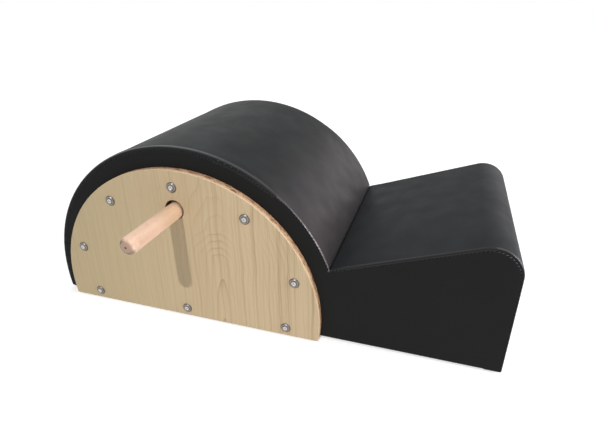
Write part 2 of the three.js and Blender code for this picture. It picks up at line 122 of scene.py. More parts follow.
# Small helpers for arrays
def ramp(value, start, run):
    """0 up to the start, a rise to 1 over the run, and 1 after it."""
    return np.clip((value - start) / run, 0, 1)


def within(values, low, high):
    """Which values lie between two limits."""
    return (values > low) & (values < high)


def unit(rows):
    """Each row scaled to length 1."""
    return rows / np.linalg.norm(rows, axis=1)[:, None]


def distances(points):
    """How far along a line of points each one is."""
    steps = np.linalg.norm(np.diff(points, axis=0), axis=1)
    return np.concatenate([[0], np.cumsum(steps)])


def at_side(outline, across):
    """Side view points (x, z) set at a place, or at places, across the body."""
    return np.stack([outline[:, 0], np.broadcast_to(across, len(outline)), outline[:, 1]], axis=1)


# Side view edges: each is a list of (x, z) points that keeps its count for every inset
def arc(centre, radius, first, last, count):
    angles = np.linspace(first, last, count)
    return centre + radius * np.stack([np.cos(angles), np.sin(angles)], axis=1)


def circle(centre, radius, count):
    return arc(np.asarray(centre, float), radius, 0, 2 * math.pi, count + 1)[:-1]


def line(first, last, count):
    share = np.linspace(0, 1, count)[:, None]
    return np.asarray(first) * (1 - share) + np.asarray(last) * share


def bend(first, turn, last, count):
    share = np.linspace(0, 1, count)[:, None]
    first, turn, last = (np.asarray(p, float) for p in (first, turn, last))
    return first * (1 - share) ** 2 + turn * 2 * share * (1 - share) + last * share ** 2


ARC_COUNT = 420
ROLL_COUNT = 12
TUCK_COUNT = 4
HEM_COUNT = 5
TURN_COUNT = 5
SLOPE_COUNT = 120
CORNER_COUNT = 34
END_COUNT = 60
# Where an edge eases to the crease's roll, as (start, run) in shares of its way
CREASE_EASE = (0.96, 0.04)


def foot_x(inset, level):
    """Where the barrel's outline, at an inset, meets a level near the floor."""
    drop = barrel_centre[1] - level
    return barrel_centre[0] - math.sqrt((BARREL_RADIUS - inset) ** 2 - drop ** 2)


def foot_angle(inset):
    """The angle at which the barrel's outline, at an inset, starts at its foot."""
    return math.pi + math.asin((barrel_centre[1] - FOOT_LEVEL) / (BARREL_RADIUS - inset))


def eased_inset(inset, share):
    """The inset, held just under the crease's roll over the last part of the way to it."""
    held = min(inset, CREASE_ROLL - CREASE_CLEAR)
    return inset + (held - inset) * ramp(share, *CREASE_EASE)


def barrel_edge(inset):
    """From the hem under the foot, over the barrel and down into the crease."""
    low = UNDERSIDE + max(inset, 0)
    foot = np.array([foot_x(inset, FOOT_LEVEL), FOOT_LEVEL])
    turn = [foot[0] + FOOT_TURN, low]
    hem = line([foot[0] + HEM_WIDTH, low], turn, HEM_COUNT)
    under = bend(turn, [foot[0], low], foot, TURN_COUNT)
    eased = eased_inset(inset, np.linspace(0, 1, ARC_COUNT))
    radii = (BARREL_RADIUS - eased)[:, None]
    over = arc(barrel_centre, radii, foot_angle(inset), barrel_roll_angle, ARC_COUNT)
    roll = arc(barrel_roll_centre, CREASE_ROLL - eased[-1], barrel_roll_angle, across_angle, ROLL_COUNT)
    tuck = line(roll[-1], roll[-1] + crease_in * CREASE_TUCK, TUCK_COUNT)
    return np.concatenate([hem, under[1:], over[1:], roll[1:], tuck[1:]])


def step_edge(inset):
    """From inside the crease, up the step, round its corner, down the end and under it."""
    low = UNDERSIDE + max(inset, 0)
    share = np.linspace(0, 1, SLOPE_COUNT)
    eased = eased_inset(inset, np.linspace(1, 0, SLOPE_COUNT))
    roll = arc(step_roll_centre, CREASE_ROLL - eased[0], across_angle + math.pi, out_angle, ROLL_COUNT)
    tuck = line(roll[0] + crease_in * CREASE_TUCK, roll[0], TUCK_COUNT)
    corner = arc(corner_centre, STEP_CORNER - inset, out_angle, 0, CORNER_COUNT)
    straight = np.interp(share, (0, 1), (eased[0], inset))
    slope = line(roll[-1], corner[0], SLOPE_COUNT) - step_out * (eased - straight)[:, None]
    foot = np.array([END_X - inset, FOOT_LEVEL])
    end = line(corner[-1], foot, END_COUNT)
    turn = [foot[0] - FOOT_TURN, low]
    under = bend(foot, [foot[0], low], turn, TURN_COUNT)
    hem = line(turn, [foot[0] - HEM_WIDTH, low], HEM_COUNT)
    return np.concatenate([tuck, roll[1:], slope[1:], corner[1:], end[1:], under[1:], hem[1:]])


def side_edge(inset):
    """The side sheet's outline from foot to foot, without its straight bottom."""
    radius = BARREL_RADIUS - inset
    start = valley - barrel_centre
    inward = start @ crease_in
    depth = -inward - math.sqrt(inward ** 2 - start @ start + radius ** 2)
    dip = valley + crease_in * depth - barrel_centre
    over = arc(barrel_centre, radius, foot_angle(inset), math.atan2(dip[1], dip[0]), ARC_COUNT // 2)
    corner = arc(corner_centre, STEP_CORNER - inset, out_angle, 0, CORNER_COUNT)
    slope = line(over[-1], corner[0], SLOPE_COUNT)
    end = line(corner[-1], [END_X - inset, FOOT_LEVEL], END_COUNT)
    return np.concatenate([over, slope[1:], corner[1:], end[1:]])


# Meshes. The weld is in metres, as meshes are.
WELD = 0.00001


def in_scene(name, data):
    """A new object in the scene, made of a mesh, a lamp or a camera."""
    made = bpy.data.objects.new(name, data)
    bpy.context.scene.collection.objects.link(made)
    return made


def make_piece(name, points, faces):
    """A smooth mesh from points in millimetres."""
    mesh = bpy.data.meshes.new(name)
    mesh.from_pydata((np.asarray(points, float) * MM).tolist(), [], faces)
    mesh.validate()
    mesh.shade_smooth()
    return in_scene(name, mesh)


def tidy_mesh(piece, merge=WELD, sharp=None):
    """Joins points that lie in one place and turns the faces outwards. Sharp is an angle for hard edges."""
    work = bmesh.new()
    work.from_mesh(piece.data)
    bmesh.ops.remove_doubles(work, verts=work.verts, dist=merge)
    bmesh.ops.recalc_face_normals(work, faces=work.faces)
    work.to_mesh(piece.data)
    work.free()
    piece.data.shade_smooth()
    if sharp:
        piece.data.set_sharp_from_angle(angle=math.radians(sharp))
    return piece


def store(mesh, name, kind, field, values):
    """Keeps a value for each point of a mesh, as an attribute."""
    stored = mesh.attributes.new(name, kind, "POINT")
    stored.data.foreach_set(field, np.asarray(values, np.float32).ravel())


def evaluated(piece):
    """The piece with its modifiers applied."""
    return piece.evaluated_get(bpy.context.evaluated_depsgraph_get())


def thicken(piece, thickness):
    """Gives a sheet its thickness, inwards from the face."""
    shell = piece.modifiers.new("thickness", "SOLIDIFY")
    shell.thickness = thickness * MM
    shell.offset = -1


def coat(piece, *materials):
    """Gives a piece these materials and no others."""
    piece.data.materials.clear()
    for material in materials:
        piece.data.materials.append(material)


def dress(piece, material, body="body"):
    """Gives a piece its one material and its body."""
    coat(piece, material)
    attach(piece, body)


def grid_faces(rows, columns, start=0, closed_rows=False, closed_columns=False):
    faces = []
    for i in range(rows if closed_rows else rows - 1):
        for j in range(columns if closed_columns else columns - 1):
            here, below = start + i * columns, start + (i + 1) % rows * columns
            after = (j + 1) % columns
            faces.append((here + j, here + after, below + after, below + j))
    return faces


def band_faces(first, second, closed=True):
    """Faces between two rows of point numbers."""
    count = len(first)
    steps = range(count if closed else count - 1)
    return [(first[i], first[(i + 1) % count], second[(i + 1) % count], second[i]) for i in steps]


def inside(polygon, points):
    """Which points lie in a closed outline."""
    found = np.zeros(len(points), bool)
    for a, b in zip(polygon, np.roll(polygon, -1, axis=0)):
        crosses = (a[1] > points[:, 1]) != (b[1] > points[:, 1])
        with np.errstate(divide="ignore", invalid="ignore"):
            reach = (b[0] - a[0]) * (points[:, 1] - a[1]) / (b[1] - a[1]) + a[0]
        found ^= crosses & (points[:, 0] < reach)
    return found


def fill(outline, holes=(), spacing=None, clear=3, support=()):
    """Triangles over an outline with holes. Loops come first in the points, in the order given."""
    loops = [np.asarray(outline), *[np.asarray(h) for h in holes]]
    points, edges = [], []
    for loop in loops:
        start = len(points)
        points.extend(loop.tolist())
        edges.extend((start + i, start + (i + 1) % len(loop)) for i in range(len(loop)))
    if spacing:
        low, high = loops[0].min(0), loops[0].max(0)
        across, up = np.meshgrid(np.arange(low[0], high[0], spacing), np.arange(low[1], high[1], spacing))
        extra = np.stack([across.ravel(), up.ravel()], axis=1)
        extra = extra[inside(loops[0], extra)]
        for loop in loops:
            away = np.linalg.norm(extra[:, None] - loop[None], axis=2).min(1)
            extra = extra[away > clear]
        for loop in loops[1:]:
            extra = extra[~inside(loop, extra)]
        points.extend(extra.tolist())
    points.extend(np.asarray(support).tolist())
    found = delaunay_2d_cdt([Vector(p) for p in points], edges, [], 0, 1e-6)
    where = {old: new for new, olds in enumerate(found[3]) for old in olds}
    verts = np.array([tuple(v) for v in found[0]])
    triangles = np.array([f for f in found[2] if len(f) == 3])
    middle = verts[triangles].mean(1)
    keep = inside(loops[0], middle)
    for loop in loops[1:]:
        keep &= ~inside(loop, middle)
    return verts, triangles[keep], where


def lathe(profile, sides, closed=False):
    """Points and faces of a (radius, along) profile turned about the Y axis."""
    turns = circle((0, 0), 1, sides)
    points = np.concatenate([at_side(turns * radius, along) for radius, along in np.asarray(profile, float)])
    return points, grid_faces(len(profile), sides, closed_rows=closed, closed_columns=True)


def waves(points, lengths, seed):
    """Soft waves at the points: a sum of sines whose directions and phases come from the seed."""
    chance = np.random.default_rng(seed)
    total = np.zeros(len(points))
    for length in lengths:
        heading = chance.normal(size=3)
        heading /= np.linalg.norm(heading)
        total += np.sin(points @ heading * 2 * math.pi / length + chance.uniform(0, 2 * math.pi))
    return total / len(lengths)


# Side seam, as (distance in from the side face, inset from the top). The top sheet bends over the edge, and
# both sheets are tucked into one sewn groove. The tuck's insets count from the seam, and a share goes by x or
# by the height about the end corner.
SEAM_BEND = 5
SEAM_DROP = 6.6
FLANK_BEND = 0.42
SEAM_SHARE = [(20, 1.0), (62, 0.2), (136, 0.2), (160, 0.8)]
END_SHARE = [(-25, 0.25), (25, 0.8)]
SEAM_TUCK = [(2.6, 0.2), (1.6, 0), (0.8, -0.25), (0.25, -0.8)]
BEND_COUNT = 9
FLAT_PLACES = (1, 2.5, 4.5, 7, 10, 13.5, 17.5, 22)
MIDDLE_ROWS = 45
RIM_SECTION = [
    (3.0, 6.0), (1.7, 6.2), (1.15, 6.6), (0.9, 7.0), (0.3, 7.45), (-0.1, 8.0), (-0.32, 8.8), (-0.32, 9.7),
    (-0.15, 10.7), (0, 12), (0, 16), (0, 22),
]
RIM_REACH = 22
RIM_LIP = 5
RIM_LIP_SHINE = (-60, 40)
PUCKER_PITCH = 14
PUCKER_RISE = 1.4
PUCKER_REST = 0.3
PUCKER_SLANT = 0.8
PUCKER_FADE = 70


def seam_section():
    """The top sheet's section from the groove, over the bend and onto the flat."""
    tuck = [(across, SEAM_DROP + drop) for across, drop in SEAM_TUCK]
    turns = np.linspace(0, math.pi / 2, BEND_COUNT)
    over = [(SEAM_BEND * (1 - math.cos(a)), SEAM_BEND * (1 - math.sin(a))) for a in turns]
    return tuck + over + [(SEAM_BEND + reach, 0) for reach in FLAT_PLACES]


def sheet_section():
    """A top sheet's whole width: places across, insets, and how far each place faces outwards and upwards."""
    near = np.array(seam_section(), float)
    facing = unit(np.gradient(near, axis=0))[:, ::-1]
    last = near[-1][0]
    places = np.linspace(last, 2 * HALF_WIDTH - last, MIDDLE_ROWS)[1:-1]
    middle = np.stack([places, np.zeros(len(places))], axis=1)
    far = np.stack([2 * HALF_WIDTH - near[::-1, 0], near[::-1, 1]], axis=1)
    up = np.tile([0.0, 1.0], (len(places), 1))
    return np.concatenate([near, middle, far]), np.concatenate([facing, up, facing[::-1] * [-1, 1]])


def seam_share(points):
    """How much of the full seam drop there is along the object: the seam climbs to the edge on the barrel's
    flank and again down the end."""
    along = np.interp(points[:, 0], *zip(*SEAM_SHARE))
    down = np.interp(points[:, 1] - corner_centre[1], *zip(*END_SHARE))
    return np.where(points[:, 0] > corner_centre[0], np.minimum(along, down), along)


def sewn_edge(edge_at, inset):
    """An edge whose inset is drawn in with the seam where that climbs."""
    outer, inner = edge_at(0), edge_at(inset)
    return outer + (inner - outer) * seam_share(outer)[:, None]


def rim_edge(inset):
    """The side sheet's outline at an inset: its lip follows the seam, and its face stays."""
    outer, inner = side_edge(0), side_edge(RIM_REACH)
    climb = (1 - seam_share(outer)) * SEAM_DROP * (RIM_REACH - inset) / (RIM_REACH - SEAM_DROP)
    return outer + (inner - outer) * ((inset - climb) / RIM_REACH)[:, None]


def puckers(points, lean):
    """Small gathers of the sewn edge, 0 to 1, for (x, z) points near the seam. Their spacing drifts, their
    height varies, and they fade out past the valley."""
    seam = rim_edge(SEAM_DROP)
    lengths = distances(seam)
    nearest = np.array([np.argmin(np.linalg.norm(seam - p, axis=1)) for p in points])
    along = lengths[nearest]
    past_valley = along - lengths[np.argmin(np.linalg.norm(seam - valley, axis=1))]
    drift = 0.3 * np.sin(along / 29 + 0.7) + 0.2 * np.sin(along / 11.3)
    rise = (0.5 + 0.5 * np.cos(2 * math.pi * along / PUCKER_PITCH + drift * 2 * math.pi + lean)) ** 2.6
    uneven = 0.75 + 0.25 * np.sin(along / 17.7 + 2)
    return rise * uneven * np.where(past_valley > 0, 0.2 + 0.8 * np.exp(-past_valley / PUCKER_FADE), 1)


def outward_of(edge):
    """The direction out of the body at each point of an edge."""
    ahead = unit(np.gradient(edge, axis=0))
    return np.stack([-ahead[:, 1], ahead[:, 0]], axis=1)


def sheet_form(section, edge_at, share):
    """The smooth form of a top sheet, as a grid of points across and along."""
    width_share = np.maximum(share, FLANK_BEND)
    rows = []
    for across, inset in section:
        reach = min(across, 2 * HALF_WIDTH - across)
        ease = ramp(RIM_REACH - reach, 0, RIM_REACH - SEAM_BEND)
        drawn = reach * (1 - (1 - width_share) * ease)
        y = drawn - HALF_WIDTH if across < HALF_WIDTH else HALF_WIDTH - drawn
        rows.append(at_side(sewn_edge(edge_at, inset), y))
    return np.array(rows)


# A top sheet's leathers, and where they change: insets on the bend, distances across the crease, and the part
# of x with gathers that shine
# The edge leathers are glossier and paler than the main ones; their paleness is a painted highlight on the
# bend's crest, the crease's roll, the step's groove and gathers, and the barrel's flank.
MAIN, EDGE, FLANK_HIGHLIGHT, STEP_EDGE = range(4)
CREST_INSET = 1.5
GROOVE_INSET = 3
ROLL_SHINE = (1.0, 3.0)
GATHERED = (-62, 46)


def sheet_finishes(section, edge_at, share):
    """Which leather each face of a top sheet shows."""
    inset = (section[1:, 1] + section[:-1, 1]) / 2
    crest = within(inset, 0, CREST_INSET)
    groove = within(inset, GROOVE_INSET, SEAM_BEND + 0.1)
    bent = within(inset, 0, SEAM_BEND + 0.5)
    edge = edge_at(0)
    middle = (edge[1:] + edge[:-1]) / 2
    x = middle[:, 0]
    climbed = (share[1:] < 0.5) & (x < valley[0])
    on_step = within(x, valley[0], corner_centre[0])
    down_end = x > corner_centre[0] + 0.97 * STEP_CORNER
    gathered = (puckers(sewn_edge(edge_at, SEAM_DROP), 0)[1:] > 0.5) & within(x, *GATHERED)
    rolled = within(np.abs((middle - valley) @ crease_across), *ROLL_SHINE)
    rolled &= ((middle - valley) @ crease_in > -CREASE_ROLL) & (x < valley[0])
    finish = np.full((len(inset), len(x)), MAIN, np.int32)
    # Painted highlights: the paler edge leathers on the crest, the crease's roll, and the step's groove and
    # gathers.
    finish[crest[:, None] & ~on_step | rolled] = EDGE
    finish[(crest | groove)[:, None] & on_step | groove[:, None] & gathered] = STEP_EDGE
    finish[:, down_end] = MAIN
    # Painted highlight: the pale flank leather on the bend where the seam climbs the barrel's flank.
    finish[bent[:, None] & climbed] = FLANK_HIGHLIGHT
    return finish


def top_sheet(name, edge_at, seed, leather):
    """A cover sheet that runs over the body, bent over and gathered at each side seam, and its flat size."""
    section, facing = sheet_section()
    share = seam_share(edge_at(0))
    grid = sheet_form(section, edge_at, share)
    along = distances(grid[len(grid) // 2])
    outward = outward_of(edge_at(0))
    lift = soft_relief(grid, section, along, sewn_edge(edge_at, SEAM_DROP), share, seed)
    lift += settled_relief(name, edge_at, section, along, seed + 5)
    grid[:, :, 0] += lift * facing[:, 1, None] * outward[None, :, 0]
    grid[:, :, 2] += lift * facing[:, 1, None] * outward[None, :, 1]
    grid[:, :, 1] += lift * facing[:, 0, None]
    piece = make_piece(name, grid.reshape(-1, 3), grid_faces(len(grid), len(along)))
    coat(piece, leather, edge_leather, highlight_leather, step_edge_leather)
    piece.data.polygons.foreach_set("material_index", sheet_finishes(section, edge_at, share).ravel())
    tidy_mesh(piece)
    return piece, (float(distances(section)[-1]) * MM, float(along[-1]) * MM)


# Relief of the top sheets: how high the rises are, how far they reach in from the seam, and lengths of waves
BEND_CREST = 0.6
BEND_SPREAD = 1.9
BEND_END = 0.5
GATHER_RISE = 0.22
GATHER_REACH = 10
RIPPLE_LENGTHS = (23, 31, 44)
RIPPLE_SLANT = 0.9
RIPPLE_RISE = 0.14
RIPPLE_REACH = 22
PATCH_LENGTHS = (70, 110, 160)
BROAD_LENGTHS = (120, 170, 230, 310)
BROAD_RISE = 0.3
BROAD_FADE = 30
FLAT_START = 8


def soft_relief(grid, section, along, seam, share, seed):
    """Small rises and hollows of a sheet drawn over foam: gathers at the seams, and ripples that run in from
    them."""
    flat = grid.reshape(-1, 3)
    from_edge = np.minimum(section[:, 0], 2 * HALF_WIDTH - section[:, 0])[:, None]
    inset = section[:, 1][:, None]
    at_seam = puckers(seam, 0)
    gathers = np.array([
        np.interp(along + PUCKER_SLANT * (SEAM_BEND - drop), along, at_seam) for drop in section[:, 1]])
    on_bend = np.exp(-((inset - SEAM_BEND + BEND_CREST) / BEND_SPREAD) ** 2) * (inset > BEND_END)
    relief = PUCKER_RISE * on_bend * (gathers - PUCKER_REST) * share[None, :]
    relief += GATHER_RISE * gathers * np.exp(-from_edge / GATHER_REACH) * (inset <= BEND_END)
    slant = along[None, :] + RIPPLE_SLANT * from_edge
    chance = np.random.default_rng(seed)
    ripple = np.zeros_like(relief)
    for length in RIPPLE_LENGTHS:
        ripple += np.sin(2 * math.pi * slant / length + chance.uniform(0, 6.28))
    patches = np.clip(waves(flat, PATCH_LENGTHS, seed + 1).reshape(ripple.shape), 0, 1)
    fading = np.exp(-np.clip(from_edge - FLAT_START, 0, None) / RIPPLE_REACH)
    relief += RIPPLE_RISE * ripple * patches * fading * (from_edge > FLAT_START - 1)
    broad = BROAD_RISE * waves(flat, BROAD_LENGTHS, seed + 2).reshape(ripple.shape)
    return relief + broad * ramp(from_edge, FLAT_START, BROAD_FADE)


# Cloth: a coarse sheet with some slack buckles over the form, and its wrinkles are carried to the fine one
CLOTH_PITCH = 7.5
CLOTH_ROWS = 51
CLOTH_FRAMES = 20
CLOTH_GROWTH = 0.012
CLOTH_START = 0.15
CLOTH_WAVES = (43, 61, 88)
CLOTH_SHARE = {"barrel": 0.75, "step": 0.35}
CLOTH_LIFT = (-0.9, 1.3)
CLOTH_FADE = 12
CLOTH_HOLD = 0.05
VALLEY_SLACK_REACH = 50
SIDE_SLACK = 0.3
SIDE_SLACK_REACH = 16
CLOTH_SETTINGS = {
    "quality": 6, "mass": 0.3, "tension_stiffness": 15, "compression_stiffness": 15, "shear_stiffness": 5,
    "bending_stiffness": 1.0, "vertex_group_mass": "held", "pin_stiffness": 0.3,
    "vertex_group_shrink": "taut", "shrink_min": -CLOTH_GROWTH, "shrink_max": 0,
}


def resampled(values, places, wanted):
    return np.stack([np.interp(wanted, places, values[:, k]) for k in range(values.shape[1])], axis=1)


def softened(values):
    """A grid of values, each drawn halfway to its neighbours."""
    wide = np.pad(values, 1, mode="edge")
    values = 0.5 * wide[1:-1] + 0.25 * (wide[:-2] + wide[2:])
    return 0.5 * values[:, 1:-1] + 0.25 * (values[:, :-2] + values[:, 2:])


def settled_relief(name, edge_at, section, along, seed):
    """How far the settled cloth stands off the form at each point of the fine sheet."""
    top = edge_at(0)
    used = within(along, HEM_WIDTH + FOOT_TURN, along[-1] - HEM_WIDTH - FOOT_TURN)
    in_crease = np.abs((top - valley) @ crease_across) < CREASE_ROLL - 1
    in_crease &= (top - valley) @ crease_in > -CREASE_ROLL / 2
    used &= ~in_crease
    places = np.arange(along[used][0], along[used][-1], CLOTH_PITCH)
    line_at = resampled(top, along, places)
    line_out = resampled(outward_of(top), along, places)
    across = np.linspace(SEAM_BEND, 2 * HALF_WIDTH - SEAM_BEND, CLOTH_ROWS)
    grid = np.array([at_side(line_at, y - HALF_WIDTH) for y in across])
    out = np.array([at_side(line_out, 0) for y in across])
    moved = settle(f"{name}_cloth", grid, out, np.linalg.norm(line_at - valley, axis=1), seed) - grid
    lift = softened(np.sum(moved * out, axis=2))
    lift = np.clip(lift * CLOTH_SHARE[name.split("_")[0]], *CLOTH_LIFT)
    lift *= ramp(np.minimum(places - places[0], places[-1] - places), 0, CLOTH_FADE)[None, :]
    fine = resampled(lift.T, places, along)
    fine = resampled(fine.T, across, section[:, 0])
    return fine * (section[:, 1] == 0)[:, None]


def settle(name, grid, out, from_valley, seed):
    """A grid in millimetres, let go as cloth. Its border is pinned, its inside is held loosely to the form,
    and it has some slack near the seams and the valley, which buckles it into wrinkles."""
    rows, columns = grid.shape[:2]
    start = CLOTH_START * waves(grid.reshape(-1, 3), CLOTH_WAVES, seed).reshape(rows, columns, 1)
    piece = make_piece(name, (grid + start * out).reshape(-1, 3), grid_faces(rows, columns))
    held = piece.vertex_groups.new(name="held")
    taut = piece.vertex_groups.new(name="taut")
    from_side = np.minimum(np.arange(rows), rows - 1 - np.arange(rows)) * CLOTH_PITCH
    at_side_seam = SIDE_SLACK * np.exp(-from_side / SIDE_SLACK_REACH)[:, None]
    slack = np.maximum(np.exp(-from_valley / VALLEY_SLACK_REACH)[None, :], at_side_seam)
    for i in range(rows):
        for j in range(columns):
            number = [i * columns + j]
            at_border = i in (0, rows - 1) or j in (0, columns - 1)
            held.add(number, 1.0 if at_border else CLOTH_HOLD, "REPLACE")
            taut.add(number, float(1 - slack[i, j]), "REPLACE")
    cloth = piece.modifiers.new("cloth", "CLOTH")
    for key, value in CLOTH_SETTINGS.items():
        setattr(cloth.settings, key, value)
    cloth.settings.effector_weights.gravity = 0
    cloth.collision_settings.use_collision = False
    for frame_number in range(1, CLOTH_FRAMES + 1):
        bpy.context.scene.frame_set(frame_number)
    found = np.empty(rows * columns * 3)
    evaluated(piece).data.vertices.foreach_get("co", found)
    bpy.context.scene.frame_set(1)
    bpy.data.objects.remove(piece)
    return found.reshape(rows, columns, 3) / MM


# Node helpers
def add(tree, kind, inputs=None, **settings):
    node = tree.nodes.new(kind)
    for key, value in settings.items():
        setattr(node, key, value)
    for key, value in (inputs or {}).items():
        if isinstance(value, bpy.types.NodeSocket):
            tree.links.new(value, node.inputs[key])
        else:
            node.inputs[key].default_value = value
    return node


def result(tree, kind, inputs=None, output=0, **settings):
    """The output of a new node."""
    return add(tree, kind, inputs, **settings).outputs[output]


def tree_of(*values):
    """The node tree of the first socket among some values."""
    return next(v.id_data for v in values if isinstance(v, bpy.types.NodeSocket))


def maths(operation, a, b=0.0):
    return result(tree_of(a, b), "ShaderNodeMath", {0: a, 1: b}, operation=operation)


def plus(a, b):
    return maths("ADD", a, b)


def minus(a, b):
    return maths("SUBTRACT", a, b)


def times(a, b):
    return maths("MULTIPLY", a, b)


def size_of(a):
    return maths("ABSOLUTE", a)


def reach_of(a, b):
    """The distance that is a one way and b across it."""
    return maths("SQRT", plus(times(a, a), times(b, b)))


def parts_of(vector):
    """A vector's x, y and z."""
    return add(tree_of(vector), "ShaderNodeSeparateXYZ", {0: vector}).outputs


def linear(red, green, blue):
    """A linear colour from 0-255 display values."""
    parts = [v / 255 for v in (red, green, blue)]
    return tuple(p / 12.92 if p <= 0.04045 else ((p + 0.055) / 1.055) ** 2.4 for p in parts) + (1.0,)


def mixed(share, a, b):
    """Colour a carried towards colour b by a share. A plain colour is (red, green, blue), 0-255."""
    a, b = (linear(*c) if isinstance(c, tuple) else c for c in (a, b))
    return result(tree_of(share), "ShaderNodeMix", {0: share, 6: a, 7: b}, 2, data_type="RGBA")


def spread(value, low, high, to_low=0.0, to_high=1.0):
    """A value from low..high carried to to_low..to_high, and held there."""
    inputs = {"Value": value, "From Min": low, "From Max": high, "To Min": to_low, "To Max": to_high}
    return result(tree_of(value), "ShaderNodeMapRange", inputs)


def stained(base, value, low, high, share, tint):
    """A colour carried towards a tint as the value goes from low to high, up to a share."""
    return mixed(spread(value, low, high, 0, share), base, tint)


def noise(vector, scale, detail=2.0, rough=0.5, distortion=0.0):
    inputs = {"Vector": vector, "Scale": scale, "Detail": detail, "Roughness": rough,
              "Distortion": distortion}
    return result(tree_of(vector), "ShaderNodeTexNoise", inputs, "Fac")


def stretched(vector, scale, place=(0, 0, 0)):
    inputs = {"Vector": vector, "Scale": scale, "Location": place}
    return result(tree_of(vector), "ShaderNodeMapping", inputs)


def grain(vector, scale, detail=2.0, rough=0.5, distortion=0.0):
    """Noise with a scale of its own along each axis."""
    return noise(stretched(vector, scale), 1, detail, rough, distortion)


def stray(vector, scale, amount):
    """Grain about zero, for lines that wander."""
    return times(minus(grain(vector, scale), 0.5), amount)


def cells(vector, scale, feature="F1", **more):
    """How far each place is from the middle of its cell."""
    inputs = {"Vector": vector, "Scale": scale, **more}
    return result(tree_of(vector), "ShaderNodeTexVoronoi", inputs, "Distance", feature=feature)


def new_material(name, **fixed):
    """A material with one shader, and the inputs that are the same all over set on it."""
    material = bpy.data.materials.new(name)
    material.use_nodes = True
    tree = material.node_tree
    tree.nodes.clear()
    shader = add(tree, "ShaderNodeBsdfPrincipled")
    for key, value in fixed.items():
        shader.inputs[key.replace("_", " ").title().replace("Ior", "IOR")].default_value = value
    add(tree, "ShaderNodeOutputMaterial", {"Surface": shader.outputs[0]})
    return material, shader, result(tree, "ShaderNodeTexCoord", output="Object")


def surface(shader, base, rough, height, depth, strength):
    """Joins a colour, a roughness, if it varies, and a bump to a shader. The bump's depth is in metres."""
    tree = tree_of(base)
    tree.links.new(base, shader.inputs["Base Color"])
    if rough is not None:
        tree.links.new(rough, shader.inputs["Roughness"])
    bump = result(tree, "ShaderNodeBump", {"Height": height, "Distance": depth, "Strength": strength})
    tree.links.new(bump, shader.inputs["Normal"])


# Finishes
def flank_scuff_and_light(place):
    """How much scuffing and painted light pale the barrel: cloudy on its flank above the valley, and less so
    lower down, which leaves painted shade towards the crease.
    """
    x, y, z = parts_of(place)
    past = spread(x, -0.02, 0.06)
    down = spread(z, 0.315, 0.2)
    cloudy = spread(noise(place, 14, 3, 0.6), 0.3, 0.6, 0.75, 1.0)
    height = minus(z, times(y, 0.09))
    height = plus(height, times(noise(place, 22, 2), 0.03))
    share = times(times(past, down), cloudy)
    # Painted shade: less of the paler colour low on the flank, towards the crease.
    return times(share, spread(height, 0.165, 0.225, 0.6, 1.0))


def painted_flank_highlight(place):
    """How strong the painted highlight on the edge is, just above the valley."""
    x = parts_of(place)[0]
    tone_share = times(spread(x, 0.05, 0.1), spread(x, 0.14, 0.118, 0.4, 1.0))
    return times(tone_share, spread(noise(place, 190, 2, 0.6), 0.35, 0.6, 0.25, 1.0))


def leather_finish(name, gloss, rough, dark, light, scuffed_and_lit=None, highlight=None):
    """Black coated upholstery cloth with a fine pebble grain. Gloss is the strength of its shine. A scuffed
    colour, if given, lies on the flank above the valley as scuffing and painted light, and a highlight
    colour, if given, is a painted highlight on the edge there."""
    material, shader, place = new_material(name, specular_ior_level=gloss)
    mottled = mixed(noise(place, 9, 3), dark, light)
    if scuffed_and_lit:
        mottled = mixed(flank_scuff_and_light(place), mottled, scuffed_and_lit)
    if highlight:
        mottled = mixed(painted_flank_highlight(place), mottled, highlight)
    pebbles = times(cells(place, 820.0, "SMOOTH_F1", Smoothness=0.7), 0.8)
    pebbles = plus(pebbles, times(noise(place, 2600, 2), 0.3))
    uneven = spread(noise(place, 26, 4), 0.3, 0.7, *rough)
    surface(shader, mottled, uneven, pebbles, 0.00009, 0.5)
    return material


CORNER_LOW = (corner_centre[1] + 8) * MM
CORNER_HIGH = (corner_centre[1] + 20) * MM


def thread_finish():
    """Black thread, with painted shade on the step and painted highlights on the flank above the valley and
    at the end corner.
    """
    material, shader, place = new_material("black_thread", specular_ior_level=0.3)
    strands = noise(place, 2400, 2)
    x, y, z = parts_of(place)
    at_flank = times(spread(x, 0.05, 0.08), spread(x, 0.15, 0.13))
    at_end = times(spread(x, 0.368, 0.385), spread(z, CORNER_LOW, CORNER_HIGH))
    on_step = times(spread(x, 0.14, 0.16), spread(x, 0.372, 0.35))
    black = mixed(strands, (38, 37, 37), (56, 54, 54))
    # Painted shade: darker thread on the step.
    black = mixed(on_step, black, (31, 30, 31))
    # Painted highlights: paler thread on the flank above the valley and at the end corner.
    pale = mixed(strands, (94, 90, 91), (134, 129, 130))
    tone_share = maths("MAXIMUM", at_flank, at_end)
    rough = spread(strands, 0, 1, 0.36, 0.46)
    surface(shader, mixed(tone_share, black, pale), rough, strands, 0.0001, 0.6)
    return material


# Veneer arches, as rings in each metre and the heights between which they rise and narrow
ARCH_RINGS = 115
ARCH_LOW = 0.086
ARCH_MIDDLE = (0.14, 0.19)
ARCH_TOP = (0.205, 0.26)
ARCH_HEART = {"right": -0.0605, "left": -0.2065}
PLY = 1.36
FACE_PLY = 0.55


